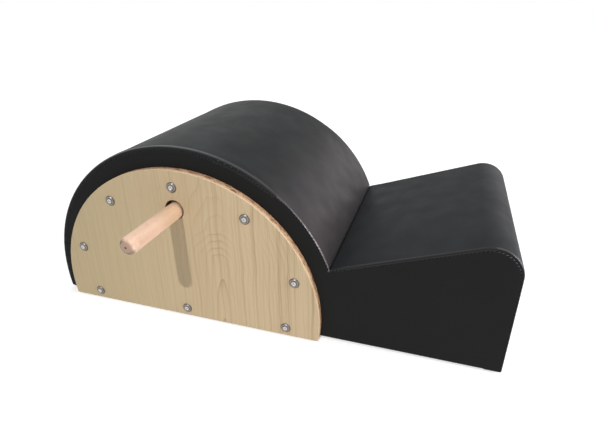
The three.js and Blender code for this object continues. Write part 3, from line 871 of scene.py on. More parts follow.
def arch_lines(x, z, flat, heart, rightward):
    """The veneer's growth rings, clear about its heart, where they nest in arches, and patchy beside it."""
    lean = times(minus(z, 0.145), -0.02)
    swirl = times(stray(flat, (13, 0, 5), 0.035), spread(z, 0.14, 0.24, 0.35, 1.0))
    across = plus(minus(minus(x, heart), lean), swirl)
    across = plus(across, stray(flat, (5, 0, 1.1), 0.03))
    rise = plus(times(minus(z, ARCH_LOW), 0.11), 2 / ARCH_RINGS)
    rise = plus(rise, spread(z, *ARCH_MIDDLE, 0, 3.3 / ARCH_RINGS))
    rise = plus(rise, spread(z, *ARCH_TOP, 0, 1.1 / ARCH_RINGS))
    rise = plus(rise, stray(flat, (24, 0, 12), 0.005))
    count = times(reach_of(across, rise), ARCH_RINGS)
    ring = maths("FRACT", plus(count, stray(flat, (16, 0, 1.4), 2.8)))
    late = times(maths("POWER", ring, 9), 0.75)
    late = plus(late, times(maths("POWER", ring, 2), 0.25))
    near = spread(size_of(across), 0.009, 0.034, 1.0, 0.0)
    near = times(near, spread(z, 0.18, 0.215, 1.0, 0.3))
    patchy = spread(grain(flat, (30, 0, 1.6)), 0.35, 0.65, 0.0, 0.8)
    return times(late, maths("MAXIMUM", near, times(patchy, rightward)))


def veneer_face(x, z, flat, heart):
    """The veneer's colour, its growth rings and its pores."""
    rightward = spread(x, -0.16, 0.06, 0.4, 1.0)
    arches = arch_lines(x, z, flat, heart, rightward)
    sway = plus(stray(flat, (9, 0, 11), 0.012), x)
    swayed = result(tree_of(z), "ShaderNodeCombineXYZ", {0: sway, 2: z})
    streaks = spread(grain(swayed, (170, 0, 1.3), 3, 0.6), 0.51, 0.68, 0, 0.8)
    pores = grain(flat, (900, 0, 45), 2, 0.6)
    # Painted light: the veneer is lighter towards +X and darker towards -X.
    base = mixed(spread(x, -0.36, -0.03), (184, 167, 131), (207, 185, 151))
    base = stained(base, grain(flat, (26, 0, 0.7), 3), 0.35, 0.7, 0.4, (190, 168, 132))
    base = mixed(times(streaks, rightward), base, (170, 146, 110))
    base = stained(base, grain(swayed, (560, 0, 4), 2, 0.6), 0.5, 0.72, 0.35, (168, 144, 106))
    base = mixed(times(arches, 0.7), base, (158, 134, 96))
    return stained(base, pores, 0.58, 0.76, 0.25, (160, 136, 100)), arches, pores


def ply_edge(place, x, z, outer):
    """Eleven plies, laid long and across in turn, in the board's edge and in its hole: torn in places, paler
    at the outer face, and with painted shade on the wall of the hole."""
    ply = times(minus(outer, PANEL_INNER * MM), 1 / (PLY * MM))
    glue = size_of(minus(maths("FRACT", ply), 0.5))
    turned = maths("MODULO", maths("FLOOR", ply), 2)
    flecks = grain(place, (170, 700, 170), 3, 0.7)
    long_ply = mixed(grain(place, (30, 900, 30), 2, 0.6), (236, 204, 170), (220, 184, 148))
    end_ply = mixed(spread(flecks, 0.52, 0.68), (224, 188, 152), (140, 96, 58))
    plies = mixed(turned, long_ply, end_ply)
    plies = stained(plies, glue, 0.44, 0.5, 0.4, (150, 110, 76))
    plies = stained(plies, outer, 0.2035, 0.1945, 0.75, (184, 144, 106))
    knots = times(spread(flecks, 0.5, 0.56, 0, 0.85), spread(outer, 0.2025, 0.2))
    plies = mixed(knots, plies, (122, 82, 48))
    torn = spread(grain(place, (60, 260, 60), 3, 0.7), 0.56, 0.61, 0, 0.9)
    torn = times(torn, spread(outer, 0.2048, 0.2036))
    plies = mixed(torn, plies, (92, 58, 34))
    plies = stained(plies, outer, 0.2058, 0.2066, 1, (240, 210, 176))
    # Painted shade: the wall of the hole is darkened.
    hole_x, hole_z = (float(v * MM) for v in hole_centre)
    from_hole = reach_of(minus(x, hole_x), minus(z, hole_z))
    return mixed(spread(from_hole, 0.0172, 0.0178, 0.8, 0), plies, (62, 44, 34))


def veneer_finish(side):
    """Pale veneer with straight streaks and narrow arches on both faces, and plies in edge and hole."""
    material, shader, place = new_material(f"{side}_panel_veneer", specular_ior_level=0.4)
    x, y, z = parts_of(place)
    outer = size_of(y)
    face, arches, pores = veneer_face(x, z, stretched(place, (1, 0, 1)), ARCH_HEART[side])
    plies = ply_edge(place, x, z, outer)
    from_middle = size_of(minus(outer, (PANEL_OUTER + PANEL_INNER) / 2 * MM))
    in_face = maths("GREATER_THAN", from_middle, ((PANEL_OUTER - PANEL_INNER) / 2 - FACE_PLY) * MM)
    hollows = plus(times(arches, 0.4), spread(pores, 0.5, 0.8))
    rough = spread(pores, 0.3, 0.7, 0.48, 0.62)
    base = mixed(in_face, plies, face)
    surface(shader, base, rough, minus(1.0, hollows), 0.00008, 0.6)
    return material


def end_grain(centred, x, reach):
    """The end of the dowel: growth rings, specks and a dark mark at its middle."""
    rings = plus(x, times(noise(centred, 60), 0.006))
    rings = maths("FRACT", times(rings, 420))
    end = mixed(rings, (192, 164, 145), (168, 139, 119))
    end = stained(end, noise(centred, 1900, 2, 0.7), 0.5, 0.7, 0.45, (132, 105, 87))
    return mixed(spread(reach, 0.0012, 0.0024, 0.9, 0), end, (58, 42, 36))


def beech_finish(name, middle, half):
    """Beech turned along Y: short dark pores, soft bands, end grain on the ends, painted shade about its
    middle where it comes out of the panel, and a darker lower left on the rim at each end. Middle is the
    dowel's middle and half is half its length, in metres."""
    material, shader, place = new_material(name, specular_ior_level=0.4)
    axis = (float(-barrel_centre[0] * MM), 0, -HANDLE_HEIGHT * MM)
    centred = stretched(place, (1, 1, 1), axis)
    x, y, z = parts_of(centred)
    reach = reach_of(x, z)
    from_middle = size_of(minus(size_of(y), middle))
    bands = grain(centred, (85, 4, 85), 3, 0.55, 0.3)
    pores = grain(centred, (900, 130, 900), 2, 0.65)
    flecks = grain(centred, (320, 34, 320), 2, 0.6)
    base = mixed(spread(bands, 0.3, 0.7), (247, 213, 190), (231, 195, 168))
    base = stained(base, pores, 0.57, 0.72, 0.45, (205, 155, 122))
    base = stained(base, flecks, 0.58, 0.74, 0.4, (212, 164, 132))
    # Painted shade: a duller tan about the middle, where the dowel comes out of the panel.
    base = mixed(spread(from_middle, 0.024, 0.055, 0.55, 0), base, (206, 174, 138))
    at_end = spread(from_middle, half - 0.003, half - 0.0008)
    base = mixed(at_end, base, end_grain(centred, x, reach))
    # Darker on the lower left of the rounded rim at each end.
    low_left = spread(times(plus(x, z), -0.7), -0.008, 0.001)
    tone_share = times(low_left, spread(noise(centred, 210, 3, 0.6), 0.3, 0.55, 0.55, 1.0))
    rim = times(spread(reach, 0.0076, 0.0104), spread(from_middle, half - 0.0075, half - 0.0045))
    base = mixed(times(tone_share, rim), base, (84, 62, 48))
    rough = spread(bands, 0.3, 0.7, 0.5, 0.62)
    surface(shader, base, rough, minus(1.0, pores), 0.00006, 0.5)
    return material


def nickel_finish():
    """Dull nickel plate. A point attribute darkens it with grime and painted shade as it goes up to 1, and
    paints a glint on it as it goes down to -1.
    """
    material, shader, place = new_material("nickel_plate", metallic=1.0)
    scuffs = noise(place, 2600, 2, 0.7)
    shade_grime_and_glint = result(tree_of(place), "ShaderNodeAttribute", output="Fac", attribute_name="shade_grime_and_glint")
    clean = mixed(noise(place, 420, 3, 0.6), (178, 174, 170), (146, 142, 138))
    # Painted glint: near white where the attribute goes below 0.
    clean = mixed(spread(shade_grime_and_glint, 0, -1), clean, (244, 241, 238))
    rough = spread(scuffs, 0.3, 0.7, 0.3, 0.46)
    # Grime and painted shade where the attribute goes above 0.
    surface(shader, mixed(shade_grime_and_glint, clean, (66, 60, 58)), rough, scuffs, 0.00002, 0.5)
    return material


def rubber_finish():
    """Black rubber with a little dust on it."""
    material, shader, place = new_material("black_rubber_pad", roughness=0.85)
    dusty = stained((24, 24, 25), noise(place, 300, 3), 0.5, 0.8, 0.3, (60, 58, 55))
    surface(shader, dusty, None, noise(place, 1800, 2), 0.0001, 0.5)
    return material


def dust_cloth_finish():
    """Black spunbond cloth with its pattern of pressed dots."""
    material, shader, place = new_material("spunbond_dust_cloth", roughness=0.95, sheen_weight=0.2)
    dots = cells(place, 420.0, Randomness=0.15)
    fibres = noise(place, 1500, 4, 0.7, 1.2)
    base = mixed(fibres, (26, 26, 28), (46, 46, 49))
    surface(shader, base, None, plus(dots, times(fibres, 0.4)), 0.0002, 0.7)
    return material


def foam_finish():
    """Pale yellow foam with open cells."""
    material, shader, place = new_material("open_cell_foam", roughness=1.0)
    holes = cells(place, 900.0)
    base = mixed(noise(place, 14, 2), (222, 213, 180), (205, 194, 158))
    base = mixed(spread(holes, 0.0, 0.3, 0.5, 0), base, (160, 148, 112))
    surface(shader, base, None, holes, 0.0004, 0.8)
    return material


def timber_finish(name, along, plies, light, dark):
    """Frame wood: grain lines drawn out along one axis, and the plies across the board's thickness."""
    material, shader, place = new_material(name, specular_ior_level=0.35)
    scale = [5.0 if axis == along else 90.0 for axis in "xyz"]
    lines = grain(place, scale, 3, 0.6, 0.4)
    fine = grain(place, [s * 9 for s in scale], 2, 0.6)
    base = mixed(spread(lines, 0.35, 0.65), light, dark)
    base = stained(base, fine, 0.55, 0.75, 0.35, (150, 116, 74))
    if plies:
        layer = maths("FRACT", times(parts_of(place)["xyz".index(plies)], 1 / 0.0014))
        seam = size_of(minus(layer, 0.5))
        base = stained(base, seam, 0.43, 0.5, 0.5, (120, 86, 54))
    surface(shader, base, spread(lines, 0.3, 0.7, 0.6, 0.75), fine, 0.0001, 0.5)
    return material


# Covers
# The barrel's scuffed flank colour is partly scuffing and partly painted light.
barrel_leather = leather_finish("black_barrel_leather", 0.07, (0.47, 0.55), (31, 34, 35), (36, 38, 38),
                                scuffed_and_lit=(75, 71, 73))
step_leather = leather_finish("black_step_leather", 0.07, (0.47, 0.55), (29, 31, 33), (34, 36, 38))
side_leather = leather_finish("black_side_leather", 0.03, (0.5, 0.58), (33, 34, 34), (38, 38, 38))
# Edge leathers: glossier, and paler, which paints highlights on bends, rolls and lips.
edge_leather = leather_finish("black_edge_leather", 0.5, (0.27, 0.33), (46, 44, 45), (55, 52, 53))
step_edge_leather = leather_finish("black_step_edge_leather", 0.18, (0.34, 0.4), (38, 37, 38), (46, 44, 45))
# A painted highlight: a pale colour on the glossy edge of the barrel's flank.
highlight_leather = leather_finish("flank_edge_highlight_leather", 0.8, (0.2, 0.3), (46, 44, 45), (55, 52, 53),
                                highlight=(138, 126, 130))


def make_top_sheets():
    """Both top sheets, each with its flat size and the foam under it."""
    made = []
    for part, edge_at, seed, leather in (
        ("barrel", barrel_edge, 11, barrel_leather),
        ("step", step_edge, 29, step_leather),
    ):
        piece, flat = top_sheet(f"{part}_cover_sheet", edge_at, seed, leather)
        thicken(piece, LEATHER)
        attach(piece, "body")
        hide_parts(f"{part}_cover")
        made.append((piece, flat, f"{part}_foam_pad"))
    return made


FACE_SPACING = 12
FACE_CLEAR = 5
HOLE_POINTS = 72
FLOOR_COUNT = 60
BOTTOM_SUPPORT = 2.5
SIDE_WAVES = (90, 130, 190, 260)
SIDE_WAVE_RISE = 0.3
SIDE_BULGE = 0.15
CLEAR_OF_PANEL = PANEL_RADIUS + 4
CLEAR_RUN = 12
LIP_LEAN = 0.9
LIP_CREST = 8.9
LIP_SPREAD = 1.6
# The side sheet's fold under the board, as (distance in from the face, height)
SIDE_HEM = [(0.15, FOOT_LEVEL - 1.2), (0.9, FOOT_LEVEL - 2.0)]
SIDE_HEM += [(depth, UNDERSIDE + LEATHER) for depth in (FOOT_TURN, HEM_WIDTH / 2, HEM_WIDTH)]
HEM_INSET = 7
HEM_CLEAR = 1.5


def side_rim(rows):
    """The side sheet's lip, gathered at the seam."""
    gathers = puckers(rim_edge(SEAM_DROP), LIP_LEAN) * seam_share(rows[0])
    points = []
    for row, (across, inset) in zip(rows, RIM_SECTION):
        rise = PUCKER_RISE * math.exp(-((inset - LIP_CREST) / LIP_SPREAD) ** 2) * (gathers - PUCKER_REST)
        points.append(at_side(row, across - rise))
    return np.concatenate(points)


def side_face(rim, start):
    """The flat face inside the rim and round the handle's hole: its own points, numbered from start, just
    after the rim's, and its faces."""
    floor_line = line(rim[-1], rim[0], FLOOR_COUNT)[1:-1]
    hole = circle(hole_centre, HOLE_RADIUS, HOLE_POINTS)
    support = floor_line + [0, BOTTOM_SUPPORT]
    outline = np.concatenate([rim, floor_line])
    verts, triangles, where = fill(outline, [hole], FACE_SPACING, FACE_CLEAR, support)
    number = {found: start - len(rim) + old for old, found in where.items() if old < len(rim)}
    extra = [i for i in range(len(verts)) if i not in number]
    number.update({i: start + shift for shift, i in enumerate(extra)})
    return at_side(verts[extra], 0.0), [tuple(number[i] for i in t) for t in triangles]


def face_waves(points, seed):
    """Slight waves of the face outside the panel, which presses the rest of it flat."""
    away = np.linalg.norm(points[:, [0, 2]] - barrel_centre, axis=1)
    ripple = SIDE_WAVE_RISE * waves(points, SIDE_WAVES, seed) * ramp(away, CLEAR_OF_PANEL, CLEAR_RUN)
    return (ripple + SIDE_BULGE * (away > CLEAR_OF_PANEL)) * (points[:, 1] == 0)


def fold_under(points, faces, level):
    """Carries every point at the lowest level round under the board."""
    low = [i for i in range(len(points)) if abs(points[i, 2] - level) < 1e-6]
    low.sort(key=lambda i: points[i, 0])
    ends = (foot_x(HEM_INSET, level) + HEM_CLEAR, END_X - HEM_INSET - HEM_CLEAR)
    edge = points[low]
    previous = low
    for depth, height in SIDE_HEM:
        x = np.clip(edge[:, 0], *ends)
        y = np.maximum(edge[:, 1], 0) + depth
        current = list(range(len(points), len(points) + len(low)))
        points = np.concatenate([points, np.stack([x, y, np.full(len(low), height)], axis=1)])
        faces += band_faces(previous, current, closed=False)
        previous = current
    return points


def make_side_sheet(side, sign):
    """A flat sheet over one side board, tucked under the seam at its rim and folded under the board."""
    rows = [rim_edge(inset) for across, inset in RIM_SECTION]
    columns = len(rows[0])
    points = side_rim(rows)
    faces = grid_faces(len(rows), columns)
    face_points, face_faces = side_face(rows[-1], len(points))
    points = np.concatenate([points, face_points])
    faces += face_faces
    points[:, 1] += face_waves(points, 47 if sign < 0 else 53)
    points = fold_under(points, faces, rows[-1][0][1])
    points[:, 1] = sign * (HALF_WIDTH - points[:, 1])
    piece = make_piece(f"{side}_side_sheet", points, faces)
    coat(piece, side_leather, step_edge_leather)
    finish = np.zeros(len(faces), np.int32)
    # Painted highlight: the lip's band gets the glossier, paler step edge leather.
    lip = slice(RIM_LIP * (columns - 1), (RIM_LIP + 1) * (columns - 1))
    finish[lip] = within(rows[0][1:, 0], *RIM_LIP_SHINE)
    piece.data.polygons.foreach_set("material_index", finish)
    tidy_mesh(piece)
    thicken(piece, LEATHER)
    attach(piece, "body")
    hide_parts(f"{side}_side_cover")
    return piece


# Stitches: Geometry Nodes set a row of small bars along a path
STITCH_IN = 0.8
STITCH_DROP = 0.1
STITCH_SIZES = {"Pitch": 5.8, "Length": 4.6, "Width": 1.0, "Height": 1.0}
STITCH_LOOKS = {"Slant": 0.38, "Unevenness": 0.08}


def new_tree(name, inputs, output):
    """An empty Geometry Nodes tree with named inputs, and the identifier of each."""
    tree = bpy.data.node_groups.new(name, "GeometryNodeTree")
    names = {}
    for label, kind in inputs.items():
        socket = tree.interface.new_socket(label, in_out="INPUT", socket_type=f"NodeSocket{kind}")
        names[label] = socket.identifier
    tree.interface.new_socket(output, in_out="OUTPUT", socket_type="NodeSocketGeometry")
    return tree, names, add(tree, "NodeGroupInput").outputs


def bar_row_tree():
    """A row of rounded bars along a path that carries its outward direction."""
    sizes = dict.fromkeys(("Pitch", "Length", "Width", "Height", "Slant", "Unevenness"), "Float")
    tree, names, source = new_tree("row_of_bars", {"Path": "Geometry", **sizes, "Finish": "Material"}, "Bars")
    curve = result(tree, "GeometryNodeMeshToCurve", {0: source["Path"]})
    steps = {"Curve": curve, "Length": source["Pitch"]}
    spaced = result(tree, "GeometryNodeResampleCurve", steps, mode="LENGTH")
    tangent = result(tree, "GeometryNodeInputTangent")
    out = result(tree, "GeometryNodeInputNamedAttribute", {"Name": "out"}, data_type="FLOAT_VECTOR")
    axes = {"primary_axis": "X", "secondary_axis": "Z"}
    turn = result(tree, "FunctionNodeAxesToRotation", {0: tangent, 1: out}, **axes)
    ball = result(tree, "GeometryNodeMeshUVSphere", {"Segments": 8, "Rings": 5, "Radius": 0.5})
    lengths = {0: source["Length"], 1: source["Width"], 2: source["Height"]}
    size = result(tree, "ShaderNodeCombineXYZ", lengths)
    least = minus(1.0, source["Unevenness"])
    most = plus(1.0, source["Unevenness"])
    chance = result(tree, "FunctionNodeRandomValue", {2: least, 3: most, "Seed": 7}, 1, data_type="FLOAT")
    size = result(tree, "ShaderNodeVectorMath", {0: size, "Scale": chance}, operation="SCALE")
    placed = {"Points": spaced, "Instance": ball, "Rotation": turn, "Scale": size}
    bars = result(tree, "GeometryNodeInstanceOnPoints", placed)
    slant = result(tree, "ShaderNodeCombineXYZ", {2: source["Slant"]})
    turned = {"Instances": bars, "Rotation": slant, "Local Space": True}
    bars = result(tree, "GeometryNodeRotateInstances", turned)
    real = result(tree, "GeometryNodeRealizeInstances", {0: bars})
    smooth = result(tree, "GeometryNodeSetShadeSmooth", {0: real})
    done = result(tree, "GeometryNodeSetMaterial", {"Geometry": smooth, "Material": source["Finish"]})
    add(tree, "NodeGroupOutput", {0: done})
    return tree, names


def grown(host, tree, names, values, name):
    """The result of a Geometry Nodes modifier on host, as a plain mesh of its own."""
    modifier = host.modifiers.new(tree.name, "NODES")
    modifier.node_group = tree
    for key, value in values.items():
        modifier[names[key]] = value
    host.update_tag()
    bpy.context.view_layer.update()
    mesh = bpy.data.meshes.new_from_object(evaluated(host))
    mesh.name = name
    host.modifiers.remove(modifier)
    bpy.data.objects.remove(host)
    return in_scene(name, mesh)


def make_stitches():
    """The stitches along both side seams."""
    seam = rim_edge(SEAM_DROP + STITCH_DROP)
    count = len(seam)
    paths = np.concatenate([at_side(seam, sign * (HALF_WIDTH - STITCH_IN)) for side, sign in SIDES])
    outs = np.repeat([[0.0, sign, 0.0] for side, sign in SIDES], count, axis=0)
    edges = [(start + i, start + i + 1) for start in (0, count) for i in range(count - 1)]
    mesh = bpy.data.meshes.new("stitch_paths")
    mesh.from_pydata((paths * MM).tolist(), edges, [])
    store(mesh, "out", "FLOAT_VECTOR", "vector", outs)
    values = {key: size * MM for key, size in STITCH_SIZES.items()}
    values |= {**STITCH_LOOKS, "Finish": thread_finish()}
    tree, names = bar_row_tree()
    piece = grown(in_scene("stitch_paths", mesh), tree, names, values, "seam_stitches")
    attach(piece, "body")


# Foam: a softened copy of each foam solid. Weld and voxel are in metres.
FOAM_WELD = 0.00002
FOAM_VOXEL = 0.005
FOAM_SOFTENING = 0.5
FOAM_ROUNDS = 3


def make_foam(part, finish):
    """The foam under one cover."""
    node, name = f"{part}_foam", f"{part}_foam_pad"
    piece = in_scene(name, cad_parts[node].data.copy())
    tidy_mesh(piece, FOAM_WELD)
    blocks = piece.modifiers.new("blocks", "REMESH")
    blocks.mode = "VOXEL"
    blocks.voxel_size = FOAM_VOXEL
    soften = piece.modifiers.new("soften", "SMOOTH")
    soften.factor = FOAM_SOFTENING
    soften.iterations = FOAM_ROUNDS
    bpy.context.view_layer.update()
    made = bpy.data.meshes.new_from_object(evaluated(piece))
    piece.modifiers.clear()
    piece.data = made
    made.name = name
    made.shade_smooth()
    dress(piece, finish)
    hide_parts(node)


# Side panels
FACE_LOOP = 1.2
HOLE_EASE = 0.7
PANEL_COUNT = 300
PANEL_FLOOR_COUNT = 80


def panel_outline(inset):
    """The half disc's outline, over its arc and back along its foot."""
    radius = PANEL_RADIUS - inset
    first = -math.asin((panel_centre[1] - UNDERSIDE - inset) / radius)
    over = arc(panel_centre, radius, first, math.pi - first, PANEL_COUNT)
    return np.concatenate([over, line(over[-1], over[0], PANEL_FLOOR_COUNT)[1:-1]])


def panel_section():
    """The panel's edge as (inset, depth), from one face over its eased corners to the other."""
    turns = np.linspace(0, math.pi / 2, 5)
    rows = [(PANEL_EASE + FACE_LOOP, 0.0)]
    rows += [(PANEL_EASE * (1 - math.sin(a)), PANEL_EASE * (1 - math.cos(a))) for a in turns]
    return rows + [(inset, PANEL_OUTER - PANEL_INNER - depth) for inset, depth in reversed(rows)]


def make_panel(side, sign):
    """A half disc with eased edges, and a hole for the handle that is eased as well."""
    rows = panel_section()
    outer = [panel_outline(inset) for inset, depth in rows]
    holes = [circle(hole_centre, HOLE_RADIUS + HOLE_EASE * inset, HOLE_POINTS) for inset, depth in rows]
    depths = [depth for inset, depth in rows]
    points = np.concatenate([at_side(loop, depth) for loop, depth in zip(outer + holes, depths + depths)])
    count = len(outer[0])
    start = len(rows) * count
    faces = grid_faces(len(rows), count, closed_columns=True)
    faces += grid_faces(len(rows), HOLE_POINTS, start, closed_columns=True)
    for row in (0, len(rows) - 1):
        verts, triangles, where = fill(outer[row], [holes[row]])
        number = {new: row * count + old if old < count else start + row * HOLE_POINTS + old - count
                  for old, new in where.items()}
        faces += [tuple(number[i] for i in t) for t in triangles]
    points[:, 1] = sign * (PANEL_OUTER - points[:, 1])
    piece = make_piece(f"{side}_veneered_panel", points, faces)
    tidy_mesh(piece)
    dress(piece, veneer_finish(side))
    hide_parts(f"{side}_side_panel")


# Handle's end, as (radius, depth), with the lathe's centre mark at its middle and a round-off to the shank
HANDLE_ROUND = 9
HANDLE_FLAT = HANDLE_RADIUS - HANDLE_ROUND
HANDLE_END = [(0.0, 0.9), (0.7, 0.75), (1.2, 0.25), (1.9, 0.02), (3.4, 0.0), (HANDLE_FLAT - 1, 0.2)]
HANDLE_END += [(HANDLE_FLAT + HANDLE_ROUND * math.sin(a), 0.35 + (HANDLE_ROUND - 0.35) * (1 - math.cos(a)))
               for a in np.linspace(0.1, math.pi / 2, 11)]
HANDLE_SIDES = 96


def make_handle(side, sign):
    """A beech dowel, a trace uneven along its length."""
    tip, inner = HANDLE_TIP, HANDLE_TIP - HANDLE_LENGTH
    shank = np.linspace(tip - HANDLE_ROUND, inner + HANDLE_ROUND, 40)
    profile = [(radius, tip - depth) for radius, depth in HANDLE_END]
    profile += [(HANDLE_RADIUS + 0.05 * math.sin(y / 17), y) for y in shank]
    profile += [(radius, inner + depth) for radius, depth in reversed(HANDLE_END)]
    points, faces = lathe(profile, HANDLE_SIDES)
    points += [barrel_centre[0], 0, HANDLE_HEIGHT]
    points[:, 1] *= sign
    piece = make_piece(f"{side}_beech_handle", points, faces)
    tidy_mesh(piece)
    beech = beech_finish(f"{side}_beech", (tip + inner) / 2 * MM, (tip - inner) / 2 * MM)
    dress(piece, beech, f"{side}_handle")
    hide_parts(f"{side}_handle")


# Fixings: one washer and one screw, set on every place by Geometry Nodes
WASHER_PROFILE = [
    (3.3, 0.0), (8.7, 0.0), (9.0, 0.15), (9.0, 0.45), (8.8, 0.75), (8.3, 1.05), (7.9, 1.4), (7.5, 1.85),
    (7.0, 2.2), (6.4, 2.38), (5.9, 2.3), (5.5, 2.05), (3.3, 0.25),
]
WASHER_SIDES = 56
SCREW_HEAD = 5.0
SCREW_RIM_HEIGHT = 2.2
SCREW_DOME = 1.25
SCREW_COUNT = 40
SCREW_SPACING = 0.8
SCREW_CLEAR = 0.25
SCREW_SHARP = 38
SCREW_GLINT = 0.7
CROSS_QUARTER = [(2.7, -0.62), (2.7, 0.62), (1.25, 0.76), (0.95, 0.95), (0.76, 1.25)]
# Shank as (radius, level), and recess as (share of the cross, level)
SHANK_RINGS = [(2.0, -0.8), (2.0, -24.5), (0.3, -29.6)]
CROSS_RINGS = [(0.8, 2.3), (0.3, 1.5)]


def with_shade_grime_and_glint(piece, amount):
    """A piece with the grime, painted shade and painted glint of each of its points, as one value."""
    store(piece.data, "shade_grime_and_glint", "FLOAT", "value", amount)
    return piece


def washer_model():
    """Cup washer, with grime and painted shade towards its rim and under the screw's head."""
    points, faces = lathe(WASHER_PROFILE, WASHER_SIDES, closed=True)
    piece = tidy_mesh(make_piece("cup_washer_model", points, faces))
    reach = np.array([math.hypot(v.co.x, v.co.z) for v in piece.data.vertices]) / MM
    return with_shade_grime_and_glint(piece, 0.3 + ramp(reach, 7.2, 0.9) * 0.5 + ramp(5.9 - reach, 0, 0.6) * 0.6)


def cross_outline():
    """The head's cross recess, seen from outside."""
    cross = []
    for turn in range(4):
        c, s = math.cos(turn * math.pi / 2), math.sin(turn * math.pi / 2)
        cross += [(x * c - y * s, x * s + y * c) for x, y in CROSS_QUARTER]
    return np.array(cross)


def grow_tube(points, faces, edge, outline, rings):
    """Carries an edge through rings of (share of the outline, level), and closes the last one."""
    for share, level in rings:
        ring = list(range(len(points), len(points) + len(outline)))
        points += [(x * share, level, z * share) for x, z in outline]
        faces += band_faces(edge, ring)
        edge = ring
    faces.append(tuple(edge))


def head_height(reach):
    """How high the head's dome stands at a distance from its middle."""
    return SCREW_RIM_HEIGHT + SCREW_DOME * (1 - (reach / SCREW_HEAD) ** 2)


def screw_model():
    """Raised countersunk head with a cross recess, on a plain shank along Y. The dome has a painted glint
    about its middle, and grime with painted shade sits in the recess and at the rim."""
    cross = cross_outline()
    head = circle((0, 0), SCREW_HEAD, SCREW_COUNT)
    verts, triangles, where = fill(head, [cross], SCREW_SPACING, SCREW_CLEAR)
    points = [(x, head_height(math.hypot(x, z)), z) for x, z in verts]
    faces = [tuple(t) for t in triangles]
    rim = [where[i] for i in range(SCREW_COUNT)]
    wall = [where[SCREW_COUNT + i] for i in range(len(cross))]
    grow_tube(points, faces, rim, head / SCREW_HEAD, SHANK_RINGS)
    grow_tube(points, faces, wall, cross, CROSS_RINGS)
    piece = tidy_mesh(make_piece("panel_screw_model", points, faces), sharp=SCREW_SHARP)
    places = np.array([v.co for v in piece.data.vertices]) / MM
    reach = np.hypot(places[:, 0], places[:, 2])
    # Painted glint about the dome's middle, and painted shade in the recess and at the rim.
    glint = SCREW_GLINT * ramp(4.0 - reach, 0, 1.6)
    recess = np.clip((head_height(reach) - places[:, 1]) / 1.4, 0, 0.5)
    return with_shade_grime_and_glint(piece, np.maximum(recess - glint, np.clip((reach - 4.2) / 0.8, -1, 0.8)))


def fixings_tree():
    """One fixing on every place, turned as the place says."""
    inputs = {"Places": "Geometry", "Fixing": "Object", "Finish": "Material"}
    tree, names, source = new_tree("fixings_on_places", inputs, "Fixings")
    model = result(tree, "GeometryNodeObjectInfo", {"Object": source["Fixing"]}, "Geometry")
    turn = result(tree, "GeometryNodeInputNamedAttribute", {"Name": "turn"}, data_type="FLOAT_VECTOR")
    rotation = result(tree, "FunctionNodeEulerToRotation", {0: turn})
    spots = result(tree, "GeometryNodeMeshToPoints", {0: source["Places"]})
    placed = {"Points": spots, "Instance": model, "Rotation": rotation}
    fixings = result(tree, "GeometryNodeInstanceOnPoints", placed)
    real = result(tree, "GeometryNodeRealizeInstances", {0: fixings})
    done = result(tree, "GeometryNodeSetMaterial", {"Geometry": real, "Material": source["Finish"]})
    add(tree, "NodeGroupOutput", {0: done})
    return tree, names


def fixing_places():
    """The right panel's five places along its arc and three along its foot."""
    angles = [math.pi / 2 + k * SCREW_PITCH for k in (-2, -1, 0, 1, 2)]
    places = [tuple(panel_centre + SCREW_CIRCLE * np.array([math.cos(a), math.sin(a)])) for a in angles]
    return places + [(panel_centre[0] + k * FOOT_SCREW_REACH, FOOT_SCREW_HEIGHT) for k in (-1, 0, 1)]


def fixings_host(name):
    """Points on both panels, each with the turn of its fixing."""
    points, turns = [], []
    for side, sign in SIDES:
        for i, (x, z) in enumerate(fixing_places()):
            x = x if sign < 0 else 2 * barrel_centre[0] - x
            points.append((x * MM, sign * (PANEL_OUTER + SHEET_GAP) * MM, z * MM))
            turns.append((0.0, i * SCREW_PITCH, math.pi if sign < 0 else 0.0))
    mesh = bpy.data.meshes.new(name)
    mesh.from_pydata(points, [], [])
    store(mesh, "turn", "FLOAT_VECTOR", "vector", turns)
    return in_scene(f"{name}_places", mesh)


def make_fixings(finish):
    """All washers as one piece, and all screws as another."""
    tree, names = fixings_tree()
    for model, name, node in (
        (washer_model(), "cup_washers", "cup_washer"),
        (screw_model(), "panel_screws", "panel_screw"),
    ):
        piece = grown(fixings_host(name), tree, names, {"Fixing": model, "Finish": finish}, name)
        bpy.data.objects.remove(model)
        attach(piece, "body")
        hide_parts(*[f"{side}_{node}_{i}" for side, sign in SIDES for i in range(1, 9)])


# Underside
PAD_HEIGHT = 4.5
PAD_PROFILE = [
    (0, 0.5), (4, 0.5), (4.6, 0.1), (5.4, 0), (PAD_RADIUS - 1.2, 0), (PAD_RADIUS - 0.4, 0.35),
    (PAD_RADIUS, 1.1), (PAD_RADIUS, PAD_HEIGHT), (0, PAD_HEIGHT),
]
PAD_SIDES = 64
DUST_MARGIN = 12
DUST_LEVEL = 2.7
DUST_HOLE_EASE = 0.4
DUST_SPACING = 9
DUST_SAG = 0.25
DUST_WAVES = (60, 85, 120)
DUST_THICKNESS = 0.4


def make_pads():
    """Four rubber pads with a dished middle, as one piece."""
    points, faces = lathe(PAD_PROFILE, PAD_SIDES)
    points = points[:, [0, 2, 1]]
    all_points = np.concatenate([points + [x, y, 0] for x, y in pad_places])
    all_faces = [tuple(k * len(points) + i for i in face) for k in range(len(pad_places)) for face in faces]
    piece = make_piece("rubber_pads", all_points, all_faces)
    tidy_mesh(piece)
    dress(piece, rubber_finish())
    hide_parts("right_barrel_pad", "left_barrel_pad", "right_step_pad", "left_step_pad")


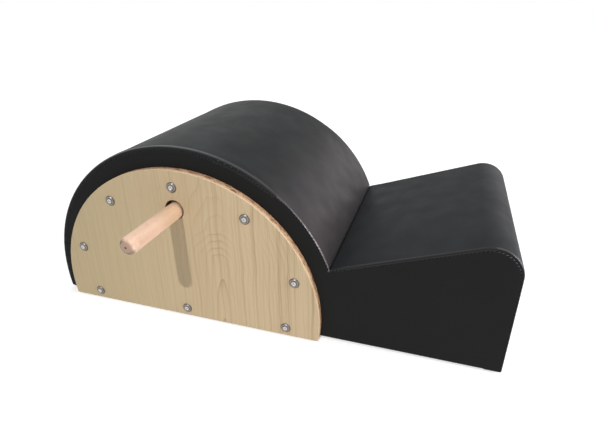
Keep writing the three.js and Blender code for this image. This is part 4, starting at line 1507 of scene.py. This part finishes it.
def make_dust_cover():
    """A thin cloth under the base with a hole for each pad, and its flat size. It sags a trace."""
    left, right = foot_x(0, UNDERSIDE) + DUST_MARGIN, END_X - DUST_MARGIN
    reach = HALF_WIDTH - DUST_MARGIN
    corners = [(left, -reach), (right, -reach), (right, reach), (left, reach)]
    counts = (80, 40, 80, 40)
    outline = np.concatenate([line(corners[i - 1], corners[i], counts[i - 1])[:-1] for i in (1, 2, 3, 0)])
    holes = [circle(place, PAD_RADIUS + DUST_HOLE_EASE, 48) for place in pad_places]
    verts, triangles, where = fill(outline, holes, DUST_SPACING)
    inward = np.minimum(np.minimum(verts[:, 0] - left, right - verts[:, 0]), reach - np.abs(verts[:, 1]))
    points = np.column_stack([verts, np.full(len(verts), DUST_LEVEL)])
    points[:, 2] -= DUST_SAG * ramp(inward, 0, 20) * (1 + waves(points, DUST_WAVES, 61))
    piece = make_piece("dust_cover_sheet", points, [tuple(t) for t in triangles])
    tidy_mesh(piece)
    for polygon in piece.data.polygons:
        if polygon.normal.z > 0:
            polygon.flip()
    thicken(piece, DUST_THICKNESS)
    dress(piece, dust_cloth_finish())
    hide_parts("dust_cover")
    return piece, (2 * reach * MM, (right - left) * MM)


# Frame wood, as (finish, grain axis, axis across the plies, light, dark, nodes)
PLYWOOD = (226, 200, 152), (204, 172, 120)
TIMBER = (232, 206, 158), (214, 180, 126)
FRAME_WOOD = [
    ("side_board_plywood", "x", "y", *PLYWOOD, ("right_side_board", "left_side_board", "centre_rib")),
    ("bent_skin_plywood", "y", None, *PLYWOOD, ("barrel_skin",)),
    ("step_plywood", "y", None, *PLYWOOD, ("step_top_board", "step_end_board")),
    ("base_plywood", "x", "z", *PLYWOOD, ("base_board",)),
    ("rail_timber", "y", None, *TIMBER,
     ("barrel_foot_rail", "valley_rail", "step_end_rail", "right_socket_block", "left_socket_block")),
]


def dress_frame():
    """Gives the frame's own wooden pieces their finishes."""
    for *finish, nodes in FRAME_WOOD:
        wood = timber_finish(*finish)
        for node in nodes:
            coat(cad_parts[node], wood)


def build():
    """Makes every piece."""
    tops = make_top_sheets()
    sides = [(side, make_side_sheet(side, sign)) for side, sign in SIDES]
    make_stitches()
    foam = foam_finish()
    make_foam("barrel", foam)
    make_foam("step", foam)
    for side, sign in SIDES:
        make_panel(side, sign)
        make_handle(side, sign)
    make_fixings(nickel_finish())
    make_pads()
    dust, flat = make_dust_cover()
    dress_frame()


# Stage, camera and light. A soft light is (name, compass angle from +X, height angle, distance, width,
# height, brightness, tint), in degrees and metres.
ROOM_LIGHT = 0.4
FLOOR_GLOW = 0.4
FLOOR_HALF = 9
KEY_LIGHT = 1.5
KEY_ANGLE = 1.2
KEY_HEADING = (0.015, 0.675, -0.737)
LIGHT_AIM = 0.15
SOFT_LIGHTS = [
    ("right_window", -8, 16, 2.2, 0.5, 1.0, 16.0, (1.0, 0.96, 0.97)),
    ("far_right_wall", 68, 7, 2.6, 1.2, 0.7, 1.4, (1.0, 0.97, 0.98)),
    ("skylight", 128, 46, 2.4, 1.4, 1.0, 1.8, (0.9, 1.0, 1.0)),
]


def look_camera():
    """The photograph's camera, as fitted to its outline."""
    data = bpy.data.cameras.new("photo_camera")
    data.sensor_width = 36
    data.lens = 27.969
    camera = in_scene("photo_camera", data)
    camera.matrix_world = Matrix((
        (0.95196625, -0.12977348, 0.27734293, 0.27682),
        (0.30614177, 0.42148522, -0.85359676, -0.80773),
        (-0.00612172, 0.89750156, 0.44096878, 0.53539),
        (0, 0, 0, 1),
    ))
    bpy.context.scene.camera = camera


def soft_light(name, compass, height_angle, distance, width, height, brightness, tint):
    """A glowing panel that faces the object. Brightness is against the white of the room."""
    data = bpy.data.lights.new(name, "AREA")
    data.shape = "RECTANGLE"
    data.size = width
    data.size_y = height
    data.energy = brightness * math.pi * width * height
    data.color = tint
    lamp = in_scene(name, data)
    compass, height_angle = math.radians(compass), math.radians(height_angle)
    level = math.cos(height_angle)
    heading = Vector((math.cos(compass) * level, math.sin(compass) * level, math.sin(height_angle)))
    lamp.location = heading * distance + Vector((0, 0, LIGHT_AIM))
    lamp.rotation_euler = heading.to_track_quat("Z", "Y").to_euler()


def key_light():
    """Daylight through the window, which casts the sharper shadows."""
    data = bpy.data.lights.new("window_key", "SUN")
    data.energy = KEY_LIGHT
    data.angle = math.radians(KEY_ANGLE)
    key = in_scene("window_key", data)
    key.rotation_euler = Vector(KEY_HEADING).to_track_quat("-Z", "Y").to_euler()


def seen_directly(tree):
    """1 for what the camera sees, also in a shine or through a clear thing, and 0 for light on others."""
    path = add(tree, "ShaderNodeLightPath").outputs
    through = maths("MAXIMUM", path["Is Glossy Ray"], path["Is Transmission Ray"])
    return maths("MAXIMUM", path["Is Camera Ray"], through)


def lay_floor():
    """A white floor that keeps the object's shadow and can't be seen from below."""
    mesh = bpy.data.meshes.new("floor")
    corners = [(x * FLOOR_HALF, y * FLOOR_HALF, 0) for x, y in ((-1, -1), (1, -1), (1, 1), (-1, 1))]
    mesh.from_pydata(corners, [], [(0, 1, 2, 3)])
    floor = in_scene("floor", mesh)
    material, shader, place = new_material("white_floor", roughness=0.9)
    tree = material.node_tree
    shader.inputs["Base Color"].default_value = (0.8, 0.8, 0.8, 1)
    shader.inputs["Emission Color"].default_value = (1, 1, 1, 1)
    tree.links.new(times(seen_directly(tree), FLOOR_GLOW), shader.inputs["Emission Strength"])
    clear = result(tree, "ShaderNodeBsdfTransparent")
    below = result(tree, "ShaderNodeNewGeometry", output="Backfacing")
    both = result(tree, "ShaderNodeMixShader", {0: below, 1: shader.outputs[0], 2: clear})
    tree.links.new(both, next(n for n in tree.nodes if n.type == "OUTPUT_MATERIAL").inputs[0])
    coat(floor, material)


def light_room():
    """A room that is white to look at and gives a part of that as light."""
    world = bpy.data.worlds.new("soft_white_room")
    bpy.context.scene.world = world
    world.use_nodes = True
    tree = world.node_tree
    tree.nodes.clear()
    strength = plus(times(seen_directly(tree), 1 - ROOM_LIGHT), ROOM_LIGHT)
    sky = result(tree, "ShaderNodeBackground", {"Color": (1, 1, 1, 1), "Strength": strength})
    add(tree, "ShaderNodeOutputWorld", {0: sky})


def set_stage():
    lay_floor()
    light_room()
    key_light()
    for light in SOFT_LIGHTS:
        soft_light(*light)
    bpy.context.scene.view_settings.view_transform = "Standard"


build()
look_camera()
set_stage()
